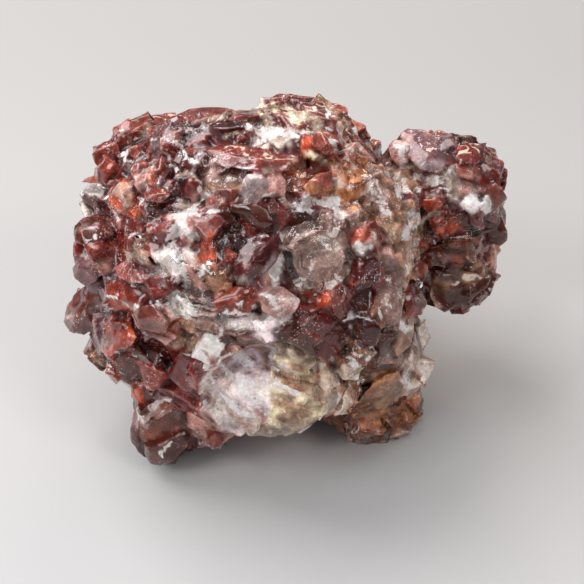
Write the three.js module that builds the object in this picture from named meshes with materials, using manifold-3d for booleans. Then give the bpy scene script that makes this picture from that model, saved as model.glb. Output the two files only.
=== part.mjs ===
// A hand-sized specimen of red calcite.  It grew as one piece: a rounded mass of rhombohedral
// crystals, with a druse of pointed crystals on the left and at the back, a cleaved and broken
// front, a smooth pale bulge low at the front and a crystal-covered knob at the right rear.
//
// Millimetres, +Z up.  -Y is the front, +X is to the right of someone who faces the front.
// The origin is the middle of the underside of the bounding box.

import * as THREE from "three";
import { ConvexGeometry } from "three/addons/geometries/ConvexGeometry.js";
import { mergeVertices } from "three/addons/utils/BufferGeometryUtils.js";
import Module from "manifold-3d";

const wasm = await Module();
wasm.setup();

// ---- Driving dimensions ------------------------------------------------------------------

const COLOUR = 0x8a4f45;
const ROUGHNESS = 0.38;

// The lumps that make up the outer form.  Crystal tips lie on their surfaces.  The solid core of
// each lump is inset by the depth of its crystals, and spacing is the distance between those, or
// 0 on a lump that has no druse of its own.
const LUMPS = {
  mass: { centre: [-9.5, 8, 41], radii: [45, 41, 43], inset: 4.8, corners: 84, spacing: 14 },
  shoulder: { centre: [-28, 22, 50], radii: [24.5, 24, 24.5], inset: 4.2, corners: 32, spacing: 13 },
  rearLeft: { centre: [-24, 30, 30], radii: [23, 22, 25], inset: 3.6, corners: 30, spacing: 14 },
  rearTop: { centre: [6, 33, 50], radii: [22, 21, 21], inset: 3.6, corners: 30, spacing: 14 },
  knobTop: { centre: [40.5, 26, 50], radii: [16.3, 16, 18], inset: 3.6, corners: 28, spacing: 12 },
  knobFoot: { centre: [44, 22, 30], radii: [11.5, 14, 12], inset: 2.6, corners: 20, spacing: 11.5 },
  neck: { centre: [27, 22, 42], radii: [15, 17, 21], inset: 2.5, corners: 26, spacing: 12 },
  base: { centre: [19.5, -1, 18], radii: [18.3, 18, 20], inset: 2.4, corners: 30, spacing: 12 },
  foot: { centre: [-31, -15, 12], radii: [10.5, 11.5, 18], inset: 2.0, corners: 22, spacing: 0 },
  sole: { centre: [-8, 17, 14], radii: [27, 27, 18.5], inset: 2.5, corners: 36, spacing: 0 },
  toe: { centre: [-20.3, -20.5, 14], radii: [6.5, 8, 9], inset: 1.6, corners: 18, spacing: 0 },
};
const BULGE = { centre: [-6.3, -25.5, 30.5], radii: [15.8, 13, 11.5] };

// The display view: where a collector looks at the piece from.  Features of the front are placed
// on its sightlines, as millimetres right and up from the middle of the view.
const VIEW_CENTRE = new THREE.Vector3(0, 0, 38);
const VIEW_ELEVATION = THREE.MathUtils.degToRad(40);
const VIEW_DISTANCE = 300;

// A calcite corner has three equal angles between its edges.  This is the angle between each edge
// and the corner's axis, from steep, for the pointed crystals of the druse, to blunt.
const STEEP = THREE.MathUtils.degToRad(47);
const BLUNT = THREE.MathUtils.degToRad(60);

// Crystals whose nearest corner is drawn on the display view: where the corner shows, then how
// far its three edges run right and up as they show.
const LEFT_DRUSE = [
  [-42.5, 40.2, 1.2, 3.1, 3.4, -1.2, -2.6, -2.0],
  [-47.2, 32.8, -2.0, 3.8, 5.5, 2.2, -0.6, -4.2],
  [-49.0, 24.2, -3.6, 0.8, 2.6, 1.8, 0.6, -4.4],
  [-50.0, 16.5, -4.0, 1.6, 4.4, 1.4, 0.4, -3.6],
  [-49.2, 8.0, -2.6, 4.2, 3.8, 2.2, 0.2, -2.5],
  [-52.5, 6.5, -2.2, 2.6, 3.8, 0.8, 0.6, -4.4],
  [-52.0, -6.0, 1.0, 6.6, 5.0, -1.4, -4.8, -2.8],
  [-48.7, -15.7, -2.0, 2.0, 3.0, 1.0, 0.0, -2.8],
  [-47.0, -12.0, -3.0, 1.6, 3.4, 1.6, 0.4, -4.8],
  [-46.7, -0.7, 8.6, -2.6, 0.6, 3.6, -1.4, -3.0],
  [-40.5, 3.5, -3.4, 1.8, 3.4, 1.6, 0.2, -2.4],
  [-42.0, -11.2, -0.6, 5.0, 3.2, -1.6, -4.2, -4.4],
  [-33.0, -7.0, -1.4, 5.0, -6.0, 0.8, 1.8, -4.0],
  [-39.2, -16.5, -5.6, 1.2, 2.6, 3.4, -0.4, -6.0],
  [-34.0, -19.7, -4.0, 2.2, 3.4, 1.8, -1.2, -4.6],
  [-24.2, -20.0, -4.0, 2.4, 4.0, 1.2, 0.4, -4.8],
  [-38.0, -24.5, -3.0, 2.4, 3.6, 1.6, 0.0, -4.4],
  [-30.0, -25.5, -3.6, 1.6, 3.4, 2.2, 0.4, -3.6],
];
const FOOT_AND_TOE = [
  [-35.5, -33.7, 0.6, 6.0, 8.4, -1.4, -3.6, -2.6],
  [-33.0, -38.2, 0.4, 4.0, 5.6, -1.0, -4.4, -3.6],
  [-38.7, -34.5, -1.6, 3.0, 2.0, 1.0, 0.4, -5.6],
  [-23.5, -27.0, -3.0, 1.0, 3.0, 1.6, 0.0, -3.0],
  [-19.5, -35.0, -4.6, 1.8, 4.4, 2.2, 0.0, -4.2],
  [-24.2, -33.2, -2.6, 2.6, 3.6, 1.8, 0.6, -3.0],
  [-16.0, -32.0, -3.0, 3.0, 2.4, 2.0, -0.8, -3.4],
  [-21.7, -28.2, -3.0, 2.4, 3.4, 2.0, 0.0, -4.0],
];
const UPPER_LEFT = [
  [-38.7, 29.5, -1.8, 1.6, 2.4, 1.8, 0.2, -2.0],
  [-35.5, 28.0, -2.4, 1.0, 2.4, 2.4, 0.4, -2.6],
  [-33.0, 24.0, -3.6, 1.2, 2.8, 2.0, -0.2, -1.8],
  [-35.5, 21.0, -2.4, 1.4, 3.6, 1.2, -0.4, -2.6],
  [-25.0, 27.0, -2.4, 1.6, 2.0, 1.6, 0.4, -4.2],
  [-41.5, 26.0, -3.0, 1.0, 2.6, 1.4, 1.6, -5.0],
  [-32.0, 15.2, -2.8, 1.8, 2.8, 2.6, -0.2, -3.2],
  [-31.0, 38.0, -2.6, 1.0, 3.0, 1.6, 0.4, -2.2],
  [-26.0, 33.0, -2.2, 1.6, 2.6, 1.0, 0.0, -2.4],
  [-34.5, 39.5, -2.0, 1.6, 2.2, 1.2, 0.2, -2.2],
];
const CENTRE = [
  [-30.5, 7.5, -3.2, 2.4, 3.0, 3.0, 1.2, -3.6],
  [-38.5, 10.5, -2.6, 1.6, 2.4, 2.4, 0.0, -2.6],
  [-31.7, 3.5, -3.4, 2.0, 3.0, 1.6, 0.0, -2.6],
  [-25.5, 4.2, -2.4, 2.6, 2.0, 1.6, 2.0, -4.4],
  [-26.7, -2.0, -3.0, 1.4, 3.6, 1.6, 1.6, -6.0],
  [-21.7, -6.5, -3.0, 1.0, 2.0, 3.0, 1.0, -4.6],
  [-10.5, 26.0, -2.0, 2.6, 3.0, 1.2, 0.2, -3.0],
  [-5.5, 26.0, -2.6, 1.4, 3.0, 2.0, 0.4, -3.0],
  [3.2, 27.5, -5.0, 2.2, 5.4, 1.6, 0.0, -3.8],
  [4.0, 36.5, -2.0, 3.4, 6.4, 1.2, -0.6, -3.4],
  [-0.5, 36.0, -3.0, 2.0, 2.4, 2.4, 0.4, -2.4],
  [15.7, 28.5, -4.0, 2.0, 3.6, 1.0, 0.0, -5.6],
  [9.5, 19.2, -7.0, 2.2, 6.0, 1.6, 0.4, -4.2],
  [5.0, 9.2, -6.0, 6.4, 7.6, 4.6, -0.6, -7.4],
  [-8.5, 7.5, -5.0, 1.2, 4.6, 5.0, -0.4, -4.0],
  [-19.0, 10.0, -3.4, 2.0, 1.0, 3.6, 0.2, -3.0],
  [-18.5, 4.2, -3.6, 2.0, 3.4, 2.2, 0.0, -3.2],
  [-13.0, -2.0, -5.6, 1.6, 4.6, 2.6, -0.4, -3.6],
  [-3.0, -2.7, -5.0, 3.4, 3.6, 1.2, -1.0, -3.4],
  [-21.0, 16.7, -3.5, 1.5, 3.0, 3.5, 0.5, -4.5],
  [-15.0, 25.5, -5.0, 1.0, 4.0, 2.5, 0.0, -3.5],
  [-9.0, 21.0, -6.0, 1.5, 7.0, 1.0, 0.0, -2.5],
  [-27.0, 15.0, -3.0, 2.4, 3.0, 2.0, 0.0, -4.0],
  [2.0, -8.0, -3.0, 2.5, 5.0, 2.0, 0.5, -4.5],
  [-21.7, -14.5, -5.0, 1.5, 4.0, 2.2, 1.5, -3.5],
];
const RIGHT_FRONT = [
  [10.7, -2.0, -4.0, 3.6, 4.0, 2.6, -0.4, -5.0],
  [17.5, 11.7, -3.0, 2.6, 3.0, 3.0, 0.6, -3.4],
  [19.0, 7.5, -3.4, 1.6, 3.4, 2.2, 0.0, -4.0],
  [19.5, -7.5, -4.0, 1.4, 3.4, 2.6, 0.0, -4.6],
  [15.7, -17.5, -2.6, 2.6, 3.0, 2.4, 0.0, -3.4],
  [-0.5, -14.5, -4.6, 3.0, 4.4, 1.0, 1.0, -4.0],
  [22.5, -25.7, -5.0, 3.6, 4.0, 4.0, -1.0, -3.6],
  [14.0, -26.5, -2.4, -1.6, 1.8, 4.0, 1.6, -2.6],
  [25.7, -33.2, -8.0, 2.0, 6.0, 3.0, 0.0, -4.6],
  [17.0, -34.5, -7.0, 2.4, 6.0, 1.2, 0.0, -2.4],
];
const KNOB = [
  [32.0, 33.5, -5.0, 3.6, 5.4, 3.0, 0.4, -4.4],
  [27.0, 34.2, -2.0, 2.4, 2.0, 2.2, 0.0, -3.4],
  [44.0, 33.0, -4.4, 2.6, 4.0, 2.2, 0.4, -4.6],
  [50.7, 24.2, -2.4, 2.6, 2.0, 1.6, 0.0, -4.4],
  [46.5, 21.0, -4.0, 1.6, 3.0, 2.0, 0.6, -3.0],
  [50.7, 16.0, -2.6, 2.4, 2.4, 2.0, 0.0, -4.4],
  [35.0, 23.0, -3.0, 2.4, 4.4, 1.0, 0.0, -3.6],
  [36.5, 16.5, -2.6, 2.6, 2.4, 2.4, 0.6, -4.0],
  [45.0, 13.7, -8.6, -0.6, 1.0, 4.0, 1.4, -6.6],
  [42.0, 3.0, -6.0, 2.0, 6.4, 2.4, -0.4, -4.6],
  [39.5, -1.5, -4.0, 2.0, 4.0, 1.6, -1.6, -3.2],
  [30.0, 21.7, -2.0, 3.0, 1.6, 2.4, 0.4, -4.6],
];

// Cleavage plates: where the middle of the plate shows, its width, height and thickness, the
// direction that it faces as parts right, up and towards the viewer, and its turn in degrees.
const PLATES = [
  { at: [3.2, 46.6], size: [19, 9, 10], faces: [0.15, 0.8, 0.55], turn: -12 },
  { at: [0.2, 43.0], size: [19, 7, 5], faces: [-0.1, 0.35, 0.9], turn: 8 },
  { at: [-21.7, 43.8], size: [21, 9, 10], faces: [-0.1, 0.85, 0.5], turn: 4 },
  { at: [-12.5, 34.6], size: [23, 7, 5], faces: [0.05, 0.6, 0.8], turn: -6 },
  { at: [-5.0, 31.8], size: [13, 6, 4], faces: [0.2, 0.45, 0.87], turn: -20 },
  { at: [-9.4, -9.0], size: [17, 5.5, 3.5], faces: [-0.1, 0.35, 0.93], turn: -10 },
  { at: [25.0, 0.5], size: [7, 20, 4], faces: [0.45, -0.1, 0.88], turn: 4 },
  { at: [24.0, -18.5], size: [8, 13, 4], faces: [0.3, -0.35, 0.88], turn: 24 },
  { at: [30.0, -8.5], size: [7, 16, 4], faces: [0.75, -0.2, 0.62], turn: 10 },
  { at: [9.6, -24.5], size: [4.5, 11, 3], faces: [-0.1, 0.1, 0.98], turn: 8 },
  { at: [25.0, 22.5], size: [5, 19, 4], faces: [0.55, 0.25, 0.8], turn: 12 },
  { at: [19.5, 31.5], size: [5, 14, 4], faces: [0.45, 0.5, 0.74], turn: 34 },
  { at: [30.2, 12.0], size: [5, 16, 4], faces: [0.8, 0.1, 0.6], turn: 6 },
];

// Hollows in the front: where the middle shows, half-width, half-height and roundness in depth,
// and how deep the hollow is.
const HOLLOWS = [
  { at: [-15.0, 13.5], radii: [5, 6, 8], depth: 7 },
  { at: [11.5, -9.0], radii: [7, 8, 8], depth: 5.5 },
  { at: [-10.0, -13.5], radii: [9, 3, 6], depth: 5.5 },
];

// ---- The display view --------------------------------------------------------------------

const RIGHT = new THREE.Vector3(1, 0, 0);
const UP = new THREE.Vector3(0, Math.sin(VIEW_ELEVATION), Math.cos(VIEW_ELEVATION));
const TOWARDS = new THREE.Vector3().crossVectors(RIGHT, UP);
const EYE = VIEW_CENTRE.clone().addScaledVector(TOWARDS, VIEW_DISTANCE);

function viewVector(right, up, towards) {
  return RIGHT.clone().multiplyScalar(right).addScaledVector(UP, up).addScaledVector(TOWARDS, towards);
}

const SKIN = [...Object.values(LUMPS), BULGE].map((lump) => ({
  centre: new THREE.Vector3(...lump.centre),
  radii: new THREE.Vector3(...lump.radii),
}));

function skinNormal(lump, point) {
  return point.clone().sub(lump.centre).divide(lump.radii).divide(lump.radii).normalize();
}

// How deep a point lies in a lump: 0 at its middle, 1 on its surface.
function levelIn(lump, point) {
  return point.clone().sub(lump.centre).divide(lump.radii).length();
}

// Where the sightline (u, v) first meets the outer form, or passes it most closely.
function sight(u, v) {
  const ray = VIEW_CENTRE.clone().add(viewVector(u, v, 0)).sub(EYE).normalize();
  let best = { miss: Infinity, reach: Infinity, lump: null };
  for (const lump of SKIN) {
    const start = EYE.clone().sub(lump.centre).divide(lump.radii);
    const step = ray.clone().divide(lump.radii);
    const a = step.dot(step);
    const b = start.dot(step);
    const root = b * b - a * (start.dot(start) - 1);
    const miss = Math.max(0, -root);
    const reach = (-b - Math.sqrt(Math.max(0, root))) / a;
    if (miss < best.miss || (miss === best.miss && reach < best.reach)) {
      best = { miss, reach, lump };
    }
  }
  const point = EYE.clone().addScaledVector(ray, best.reach);
  return { point, normal: skinNormal(best.lump, point) };
}

// ---- Solids ------------------------------------------------------------------------------

function toSolid(geometry) {
  geometry.deleteAttribute("normal");
  geometry.deleteAttribute("uv");
  const merged = mergeVertices(geometry, 1e-4);
  return new wasm.Manifold(new wasm.Mesh({
    numProp: 3,
    vertProperties: new Float32Array(merged.attributes.position.array),
    triVerts: new Uint32Array(merged.index.array),
  }));
}

function seededRandom(seed) {
  let state = seed;
  return () => {
    state = (state + 0x6d2b79f5) | 0;
    let mixed = Math.imul(state ^ (state >>> 15), 1 | state);
    mixed = (mixed + Math.imul(mixed ^ (mixed >>> 7), 61 | mixed)) ^ mixed;
    return ((mixed ^ (mixed >>> 14)) >>> 0) / 4294967296;
  };
}

// Evenly spread directions on a sphere, each moved a little by the random source.
function spreadDirections(count, random, wander) {
  const golden = Math.PI * (3 - Math.sqrt(5));
  const directions = [];
  for (let i = 0; i < count; i += 1) {
    const z = 1 - (2 * i + 1) / count;
    const ring = Math.sqrt(1 - z * z);
    const direction = new THREE.Vector3(ring * Math.cos(golden * i), ring * Math.sin(golden * i), z);
    direction.x += wander * (random() - 0.5);
    direction.y += wander * (random() - 0.5);
    direction.z += wander * (random() - 0.5);
    directions.push(direction.normalize());
  }
  return directions;
}

// A lump's rough core: the convex hull of scattered corners, inset from the lump's surface by the
// depth of its crystals, which stand lower on the front than elsewhere.
const FRONT_INSET = 0.5;
const FRONT_LIMIT = 0.35;
const CORE_WANDER = 0.25;
const CORE_DENT = 0.04;
function lumpCore(lump, random) {
  const centre = new THREE.Vector3(...lump.centre);
  const corners = spreadDirections(lump.corners, random, CORE_WANDER).map((direction) => {
    const share = direction.dot(TOWARDS) > FRONT_LIMIT ? FRONT_INSET : 1;
    const radii = new THREE.Vector3(...lump.radii).subScalar(lump.inset * share);
    const depth = 1 - CORE_DENT * random();
    return direction.clone().multiply(radii).multiplyScalar(depth).add(centre);
  });
  return toSolid(new ConvexGeometry(corners));
}

// A solid rooted in the mass: its outer points, and the same points sunk along the root direction
// and spread from their middle, so that its flanks slope into its neighbours.
function rootedSolid(points, root, depth, flare) {
  const middle = new THREE.Vector3();
  points.forEach((point) => middle.addScaledVector(point, 1 / points.length));
  const feet = points.map((point) => (
    middle.clone().add(point.clone().sub(middle).multiplyScalar(flare)).addScaledVector(root, depth)
  ));
  return toSolid(new ConvexGeometry([...points, ...feet]));
}

// The three faces of a rhomb that meet at its corner.
function cornerPoints(corner, [first, second, third]) {
  const sums = [first, second, third, first.clone().add(second), second.clone().add(third)];
  sums.push(third.clone().add(first));
  return [corner, ...sums.map((sum) => sum.add(corner))];
}

// Two unit vectors square to an axis, turned about it.
function turnedFrame(axis, turn) {
  const helper = Math.abs(axis.z) < 0.9 ? new THREE.Vector3(0, 0, 1) : RIGHT;
  const side = new THREE.Vector3().crossVectors(helper, axis).normalize().applyAxisAngle(axis, turn);
  return [side, new THREE.Vector3().crossVectors(axis, side)];
}

// A rhombohedral crystal whose corner points along the axis, rooted against the skin's normal.
const DRUSE_ROOT = 0.6;
const DRUSE_FLARE = 1.12;
function crystalSolid(tip, axis, normal, lengths, turn, opening) {
  const [side, other] = turnedFrame(axis, turn);
  const edges = lengths.map((length, index) => {
    const azimuth = (index * 2 * Math.PI) / 3;
    const edge = axis.clone().multiplyScalar(-Math.cos(opening));
    edge.addScaledVector(side, Math.sin(opening) * Math.cos(azimuth));
    edge.addScaledVector(other, Math.sin(opening) * Math.sin(azimuth));
    return edge.multiplyScalar(length);
  });
  const depth = DRUSE_ROOT * Math.max(...lengths);
  return rootedSolid(cornerPoints(tip, edges), normal.clone().negate(), depth, DRUSE_FLARE);
}

// How far each of three drawn edges runs back from a corner, if the corner is square: each pair
// of edges then has a dot product of 0 in space.
const MOST_RECEDING = 1.1;
const LEAST_RECEDING = 0.3;
const USUAL_RECEDING = 0.6;
function recession([a, b, c]) {
  const pairs = [[a, b, c], [b, a, c], [c, a, b]];
  const square = a.dot(b) < 0 && a.dot(c) < 0 && b.dot(c) < 0;
  return pairs.map(([edge, next, last]) => {
    const depth = square
      ? Math.sqrt((edge.dot(next) * edge.dot(last)) / -next.dot(last))
      : USUAL_RECEDING * edge.length();
    return THREE.MathUtils.clamp(depth, LEAST_RECEDING * edge.length(), MOST_RECEDING * edge.length());
  });
}

const PROUD = 0.8;
const DRAWN_ROOT = 4.5;
const DRAWN_FLARE = 1.45;
function drawnCrystal([u, v, ...runs]) {
  const drawn = [0, 2, 4].map((start) => new THREE.Vector2(runs[start], runs[start + 1]));
  const depths = recession(drawn);
  const edges = drawn.map((edge, index) => viewVector(edge.x, edge.y, -depths[index]));
  const { point, normal } = sight(u, v);
  const corner = point.addScaledVector(TOWARDS, PROUD);
  return rootedSolid(cornerPoints(corner, edges), normal.negate(), DRAWN_ROOT, DRAWN_FLARE);
}

// A cleavage plate: a flat top with an uneven rhombic outline and sloping flanks.
const PLATE_SKEW = 0.25;
const PLATE_FLARE = 1.2;
const PLATE_SINK = 1.3;
const PLATE_OUTLINE = [[-0.5, -0.3], [-0.1, -0.5], [0.5, -0.35], [0.42, 0.4], [-0.36, 0.5]];
function plateSolid({ at, size, faces, turn }) {
  const normal = viewVector(...faces).normalize();
  const upright = UP.clone().addScaledVector(normal, -UP.dot(normal)).normalize();
  upright.applyAxisAngle(normal, THREE.MathUtils.degToRad(turn));
  const side = new THREE.Vector3().crossVectors(upright, normal);
  upright.addScaledVector(side, PLATE_SKEW);
  const [width, height, thickness] = size;
  const point = sight(...at).point.addScaledVector(normal, -PLATE_SINK);
  const outline = PLATE_OUTLINE.map(([across, along]) => (
    point.clone().addScaledVector(side, across * width).addScaledVector(upright, along * height)
  ));
  return rootedSolid(outline, normal.clone().negate(), thickness, PLATE_FLARE);
}

// ---- The druse on the sides and the back -------------------------------------------------

const DRUSE_FLOOR = 4;
const DRUSE_SINK = 1.6;
const DRUSE_LEAN = 0.7;
const DRUSE_WANDER = 0.08;
const LEAST_LENGTH = 0.7;
const MORE_LENGTH = 0.35;
const FRONT_FROM = 0.25;
const FRONT_SPACING = 0.8;
const CROWDED = 0.82;
const TRIES_PER_SPACING = 1.9;
const BURIED = 0.985;
const random = seededRandom(20260);

function isOutside(point, ownLump) {
  return SKIN.every((lump) => lump === ownLump || levelIn(lump, point) > BURIED);
}

// Crystals over each lump, where no placed crystal stands, with their axes near the skin's normal.
function druseCrystals(placedTips) {
  const tips = [...placedTips];
  const crystals = [];
  for (const [index, lump] of Object.values(LUMPS).entries()) {
    if (lump.spacing === 0) {
      continue;
    }
    const skin = SKIN[index];
    const area = lump.radii[0] * lump.radii[1] * 4 * Math.PI;
    const count = Math.round((TRIES_PER_SPACING * area) / (lump.spacing * lump.spacing));
    for (const direction of spreadDirections(count, random, DRUSE_WANDER)) {
      const point = direction.clone().multiply(skin.radii).add(skin.centre);
      const normal = skinNormal(skin, point);
      const spacing = lump.spacing * (normal.dot(TOWARDS) > FRONT_FROM ? FRONT_SPACING : 1);
      const crowded = tips.some((tip) => tip.distanceTo(point) < spacing * CROWDED);
      if (point.z < DRUSE_FLOOR || crowded || !isOutside(point, skin)) {
        continue;
      }
      tips.push(point);
      const wander = new THREE.Vector3(random() - 0.5, random() - 0.5, random() - 0.5);
      const axis = normal.clone().addScaledVector(wander, DRUSE_LEAN).normalize();
      const sunk = point.clone().addScaledVector(normal, -DRUSE_SINK * random());
      const lengths = [0, 1, 2].map(() => spacing * (LEAST_LENGTH + MORE_LENGTH * random()));
      const opening = STEEP + (BLUNT - STEEP) * random();
      crystals.push(crystalSolid(sunk, axis, normal, lengths, 2 * Math.PI * random(), opening));
    }
  }
  return crystals;
}

// ---- Assembly ----------------------------------------------------------------------------

const FLOOR_SIZE = 400;
const BULGE_SEGMENTS = 18;
const BULGE_RINGS = 11;
const HOLLOW_SEGMENTS = 9;
const HOLLOW_RINGS = 6;

// A hollow in the front: an ellipsoid set square to the sightline, with its deepest point at
// depth below the outer form.
function hollowSolid({ at, radii, depth }) {
  const [wide, high, deep] = radii;
  const middle = sight(...at).point.addScaledVector(TOWARDS, deep - depth);
  const frame = new THREE.Matrix4().makeBasis(
    RIGHT.clone().multiplyScalar(wide),
    UP.clone().multiplyScalar(high),
    TOWARDS.clone().multiplyScalar(deep),
  );
  const sphere = new THREE.SphereGeometry(1, HOLLOW_SEGMENTS, HOLLOW_RINGS);
  sphere.applyMatrix4(frame.setPosition(middle));
  return toSolid(sphere);
}

function bulgeSolid() {
  const sphere = new THREE.SphereGeometry(1, BULGE_SEGMENTS, BULGE_RINGS);
  sphere.scale(...BULGE.radii);
  sphere.translate(...BULGE.centre);
  return toSolid(sphere);
}

// Points that the druse keeps clear of, because placed crystals, plates and hollows are there.
const PLATE_SPREAD = [-0.3, 0, 0.3];
function placedPoints(drawnRows) {
  const corners = drawnRows.map(([u, v]) => sight(u, v).point);
  const hollows = HOLLOWS.map(({ at }) => sight(...at).point);
  const plates = PLATES.flatMap(({ at: [u, v], size: [width, height] }) => (
    PLATE_SPREAD.flatMap((across) => PLATE_SPREAD.map((along) => (
      sight(u + across * width, v + along * height).point
    )))
  ));
  return [...corners, ...hollows, ...plates];
}

function clusterSolid() {
  const drawnRows = [LEFT_DRUSE, FOOT_AND_TOE, UPPER_LEFT, CENTRE, RIGHT_FRONT, KNOB].flat();
  const cores = Object.values(LUMPS).map((lump) => lumpCore(lump, random));
  let solid = cores.reduce((whole, core) => whole.add(core));
  for (const hollow of HOLLOWS) {
    solid = solid.subtract(hollowSolid(hollow));
  }
  solid = solid.add(bulgeSolid());
  const grown = [
    ...druseCrystals(placedPoints(drawnRows)),
    ...drawnRows.map(drawnCrystal),
    ...PLATES.map(plateSolid),
  ];
  for (const growth of grown) {
    solid = solid.add(growth);
  }
  const underfloor = new THREE.BoxGeometry(FLOOR_SIZE, FLOOR_SIZE, FLOOR_SIZE);
  underfloor.translate(0, 0, -FLOOR_SIZE / 2);
  return solid.subtract(toSolid(underfloor));
}

// The surface without the small voids that crystals leave between them: the faces that hang
// together with the face at the far right.
function outerShell({ vertProperties, triVerts }) {
  const group = Array.from({ length: vertProperties.length / 3 }, (_, index) => index);
  const find = (vertex) => {
    let root = vertex;
    while (group[root] !== root) {
      group[root] = group[group[root]];
      root = group[root];
    }
    return root;
  };
  for (let i = 0; i < triVerts.length; i += 3) {
    group[find(triVerts[i])] = find(triVerts[i + 1]);
    group[find(triVerts[i + 1])] = find(triVerts[i + 2]);
  }
  let farRight = 0;
  for (let vertex = 0; vertex < group.length; vertex += 1) {
    if (vertProperties[3 * vertex] > vertProperties[3 * farRight]) {
      farRight = vertex;
    }
  }
  const outer = find(farRight);
  const kept = [];
  for (let i = 0; i < triVerts.length; i += 3) {
    if (find(triVerts[i]) === outer) {
      kept.push(triVerts[i], triVerts[i + 1], triVerts[i + 2]);
    }
  }
  const shell = new THREE.BufferGeometry();
  shell.setAttribute("position", new THREE.BufferAttribute(vertProperties, 3));
  shell.setIndex(kept);
  return shell;
}

const geometry = outerShell(clusterSolid().getMesh());
geometry.computeBoundingBox();
const middle = geometry.boundingBox.getCenter(new THREE.Vector3());

const material = new THREE.MeshStandardMaterial({ color: COLOUR, roughness: ROUGHNESS, metalness: 0 });
const cluster = new THREE.Mesh(geometry, material);
cluster.name = "calcite_cluster";
cluster.position.set(-middle.x, -middle.y, -geometry.boundingBox.min.z);
const specimen = new THREE.Group();
specimen.add(cluster);
export default specimen;
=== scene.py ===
"""Looks of a red calcite specimen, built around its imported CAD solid.

The CAD solid gives the form.  Traced large crystals and thousands of small ones are set on it and
fused with it, their edges are rounded as on natural crystals, and the fused surface is coloured
crystal by crystal.  Clear zones are see-through shells over sunken ground.  Lengths are in
millimetres until meshes are made.
"""

import itertools
import math

import bmesh
import bpy
import numpy as np
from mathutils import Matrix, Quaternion, Vector
from mathutils.bvhtree import BVHTree
from mathutils.kdtree import KDTree


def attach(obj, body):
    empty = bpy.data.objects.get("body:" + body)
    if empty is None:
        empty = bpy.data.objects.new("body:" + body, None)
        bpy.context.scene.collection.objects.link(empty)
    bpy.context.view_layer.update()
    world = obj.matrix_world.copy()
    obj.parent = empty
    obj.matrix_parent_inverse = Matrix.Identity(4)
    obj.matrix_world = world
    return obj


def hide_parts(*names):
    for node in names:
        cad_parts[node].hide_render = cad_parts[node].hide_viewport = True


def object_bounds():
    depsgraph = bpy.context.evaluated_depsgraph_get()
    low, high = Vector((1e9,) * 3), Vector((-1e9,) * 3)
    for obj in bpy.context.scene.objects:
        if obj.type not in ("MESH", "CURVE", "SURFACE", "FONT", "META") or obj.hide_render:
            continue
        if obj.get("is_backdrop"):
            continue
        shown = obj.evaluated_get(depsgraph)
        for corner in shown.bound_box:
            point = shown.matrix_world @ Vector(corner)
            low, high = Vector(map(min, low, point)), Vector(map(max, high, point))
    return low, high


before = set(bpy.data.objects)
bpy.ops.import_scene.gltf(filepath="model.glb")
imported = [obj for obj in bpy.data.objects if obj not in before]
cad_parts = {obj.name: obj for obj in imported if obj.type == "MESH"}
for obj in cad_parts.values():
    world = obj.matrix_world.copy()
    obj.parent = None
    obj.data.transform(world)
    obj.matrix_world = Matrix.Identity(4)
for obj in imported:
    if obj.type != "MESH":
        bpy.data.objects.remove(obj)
cad_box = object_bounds()

MM = 0.001
NODE = "calcite_cluster"
random = np.random.default_rng(41)

# ---- The display view: features of the front are placed on its sightlines ---------------------

VIEW_CENTRE = np.array([0.439, -7.394, 38.0])
VIEW_ELEVATION = math.radians(40)
VIEW_DISTANCE = 300.0
VIEW_WIDTH = 146.0
SENSOR = 36.0
RIGHT = np.array([1.0, 0.0, 0.0])
UP = np.array([0.0, math.sin(VIEW_ELEVATION), math.cos(VIEW_ELEVATION)])
TOWARDS = np.cross(RIGHT, UP)
EYE = VIEW_CENTRE + VIEW_DISTANCE * TOWARDS


def display_place(points):
    """Where points show on the display view, in millimetres right and up from its middle."""
    away = points - VIEW_CENTRE
    scale = VIEW_DISTANCE / (VIEW_DISTANCE - away @ TOWARDS)
    return np.stack([(away @ RIGHT) * scale, (away @ UP) * scale], axis=-1)


def on_sightline(u, v, depth):
    """The point that shows at (u, v) and stands depth nearer to the eye than the display plane."""
    aim = VIEW_CENTRE + u * RIGHT + v * UP
    return EYE + (aim - EYE) * (1 - depth / VIEW_DISTANCE)


def inside_outline(at, outline):
    """Which places of the display view lie within a closed outline."""
    within = np.zeros(len(at), bool)
    for (u0, v0), (u1, v1) in zip(outline, outline[1:] + outline[:1]):
        crosses = (v0 > at[:, 1]) != (v1 > at[:, 1])
        crossing = u0 + (at[:, 1] - v0) / (v1 - v0 if v1 != v0 else 1e-9) * (u1 - u0)
        within ^= crosses & (at[:, 0] < crossing)
    return within


def unit(vectors):
    return vectors / np.maximum(np.linalg.norm(vectors, axis=-1, keepdims=True), 1e-12)


# ---- The CAD solid's surface ------------------------------------------------------------------

cad_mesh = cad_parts[NODE].data
cad_mesh.calc_loop_triangles()
cad_points = np.array([vertex.co for vertex in cad_mesh.vertices]) / MM
cad_faces = np.array([triangle.vertices for triangle in cad_mesh.loop_triangles])
cad_corners = cad_points[cad_faces]
cad_cross = np.cross(cad_corners[:, 1] - cad_corners[:, 0], cad_corners[:, 2] - cad_corners[:, 0])
cad_area = np.linalg.norm(cad_cross, axis=1) / 2
cad_normal = unit(cad_cross)
cad_middle = cad_corners.mean(axis=1)
cad_tree = BVHTree.FromPolygons([Vector(p) for p in cad_points], [list(map(int, f)) for f in cad_faces])

FORM_SCALE = 5.0         # the form is smoothed over about this distance
CHUNK = 400              # so many points are smoothed at a time
LEAST_FACING = 0.05      # the least cosine between a seen surface's normal and its sightline
OFF_SURFACE = 1.5        # a ray towards the eye starts this far off the surface
RAY_REACH = 60


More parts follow.
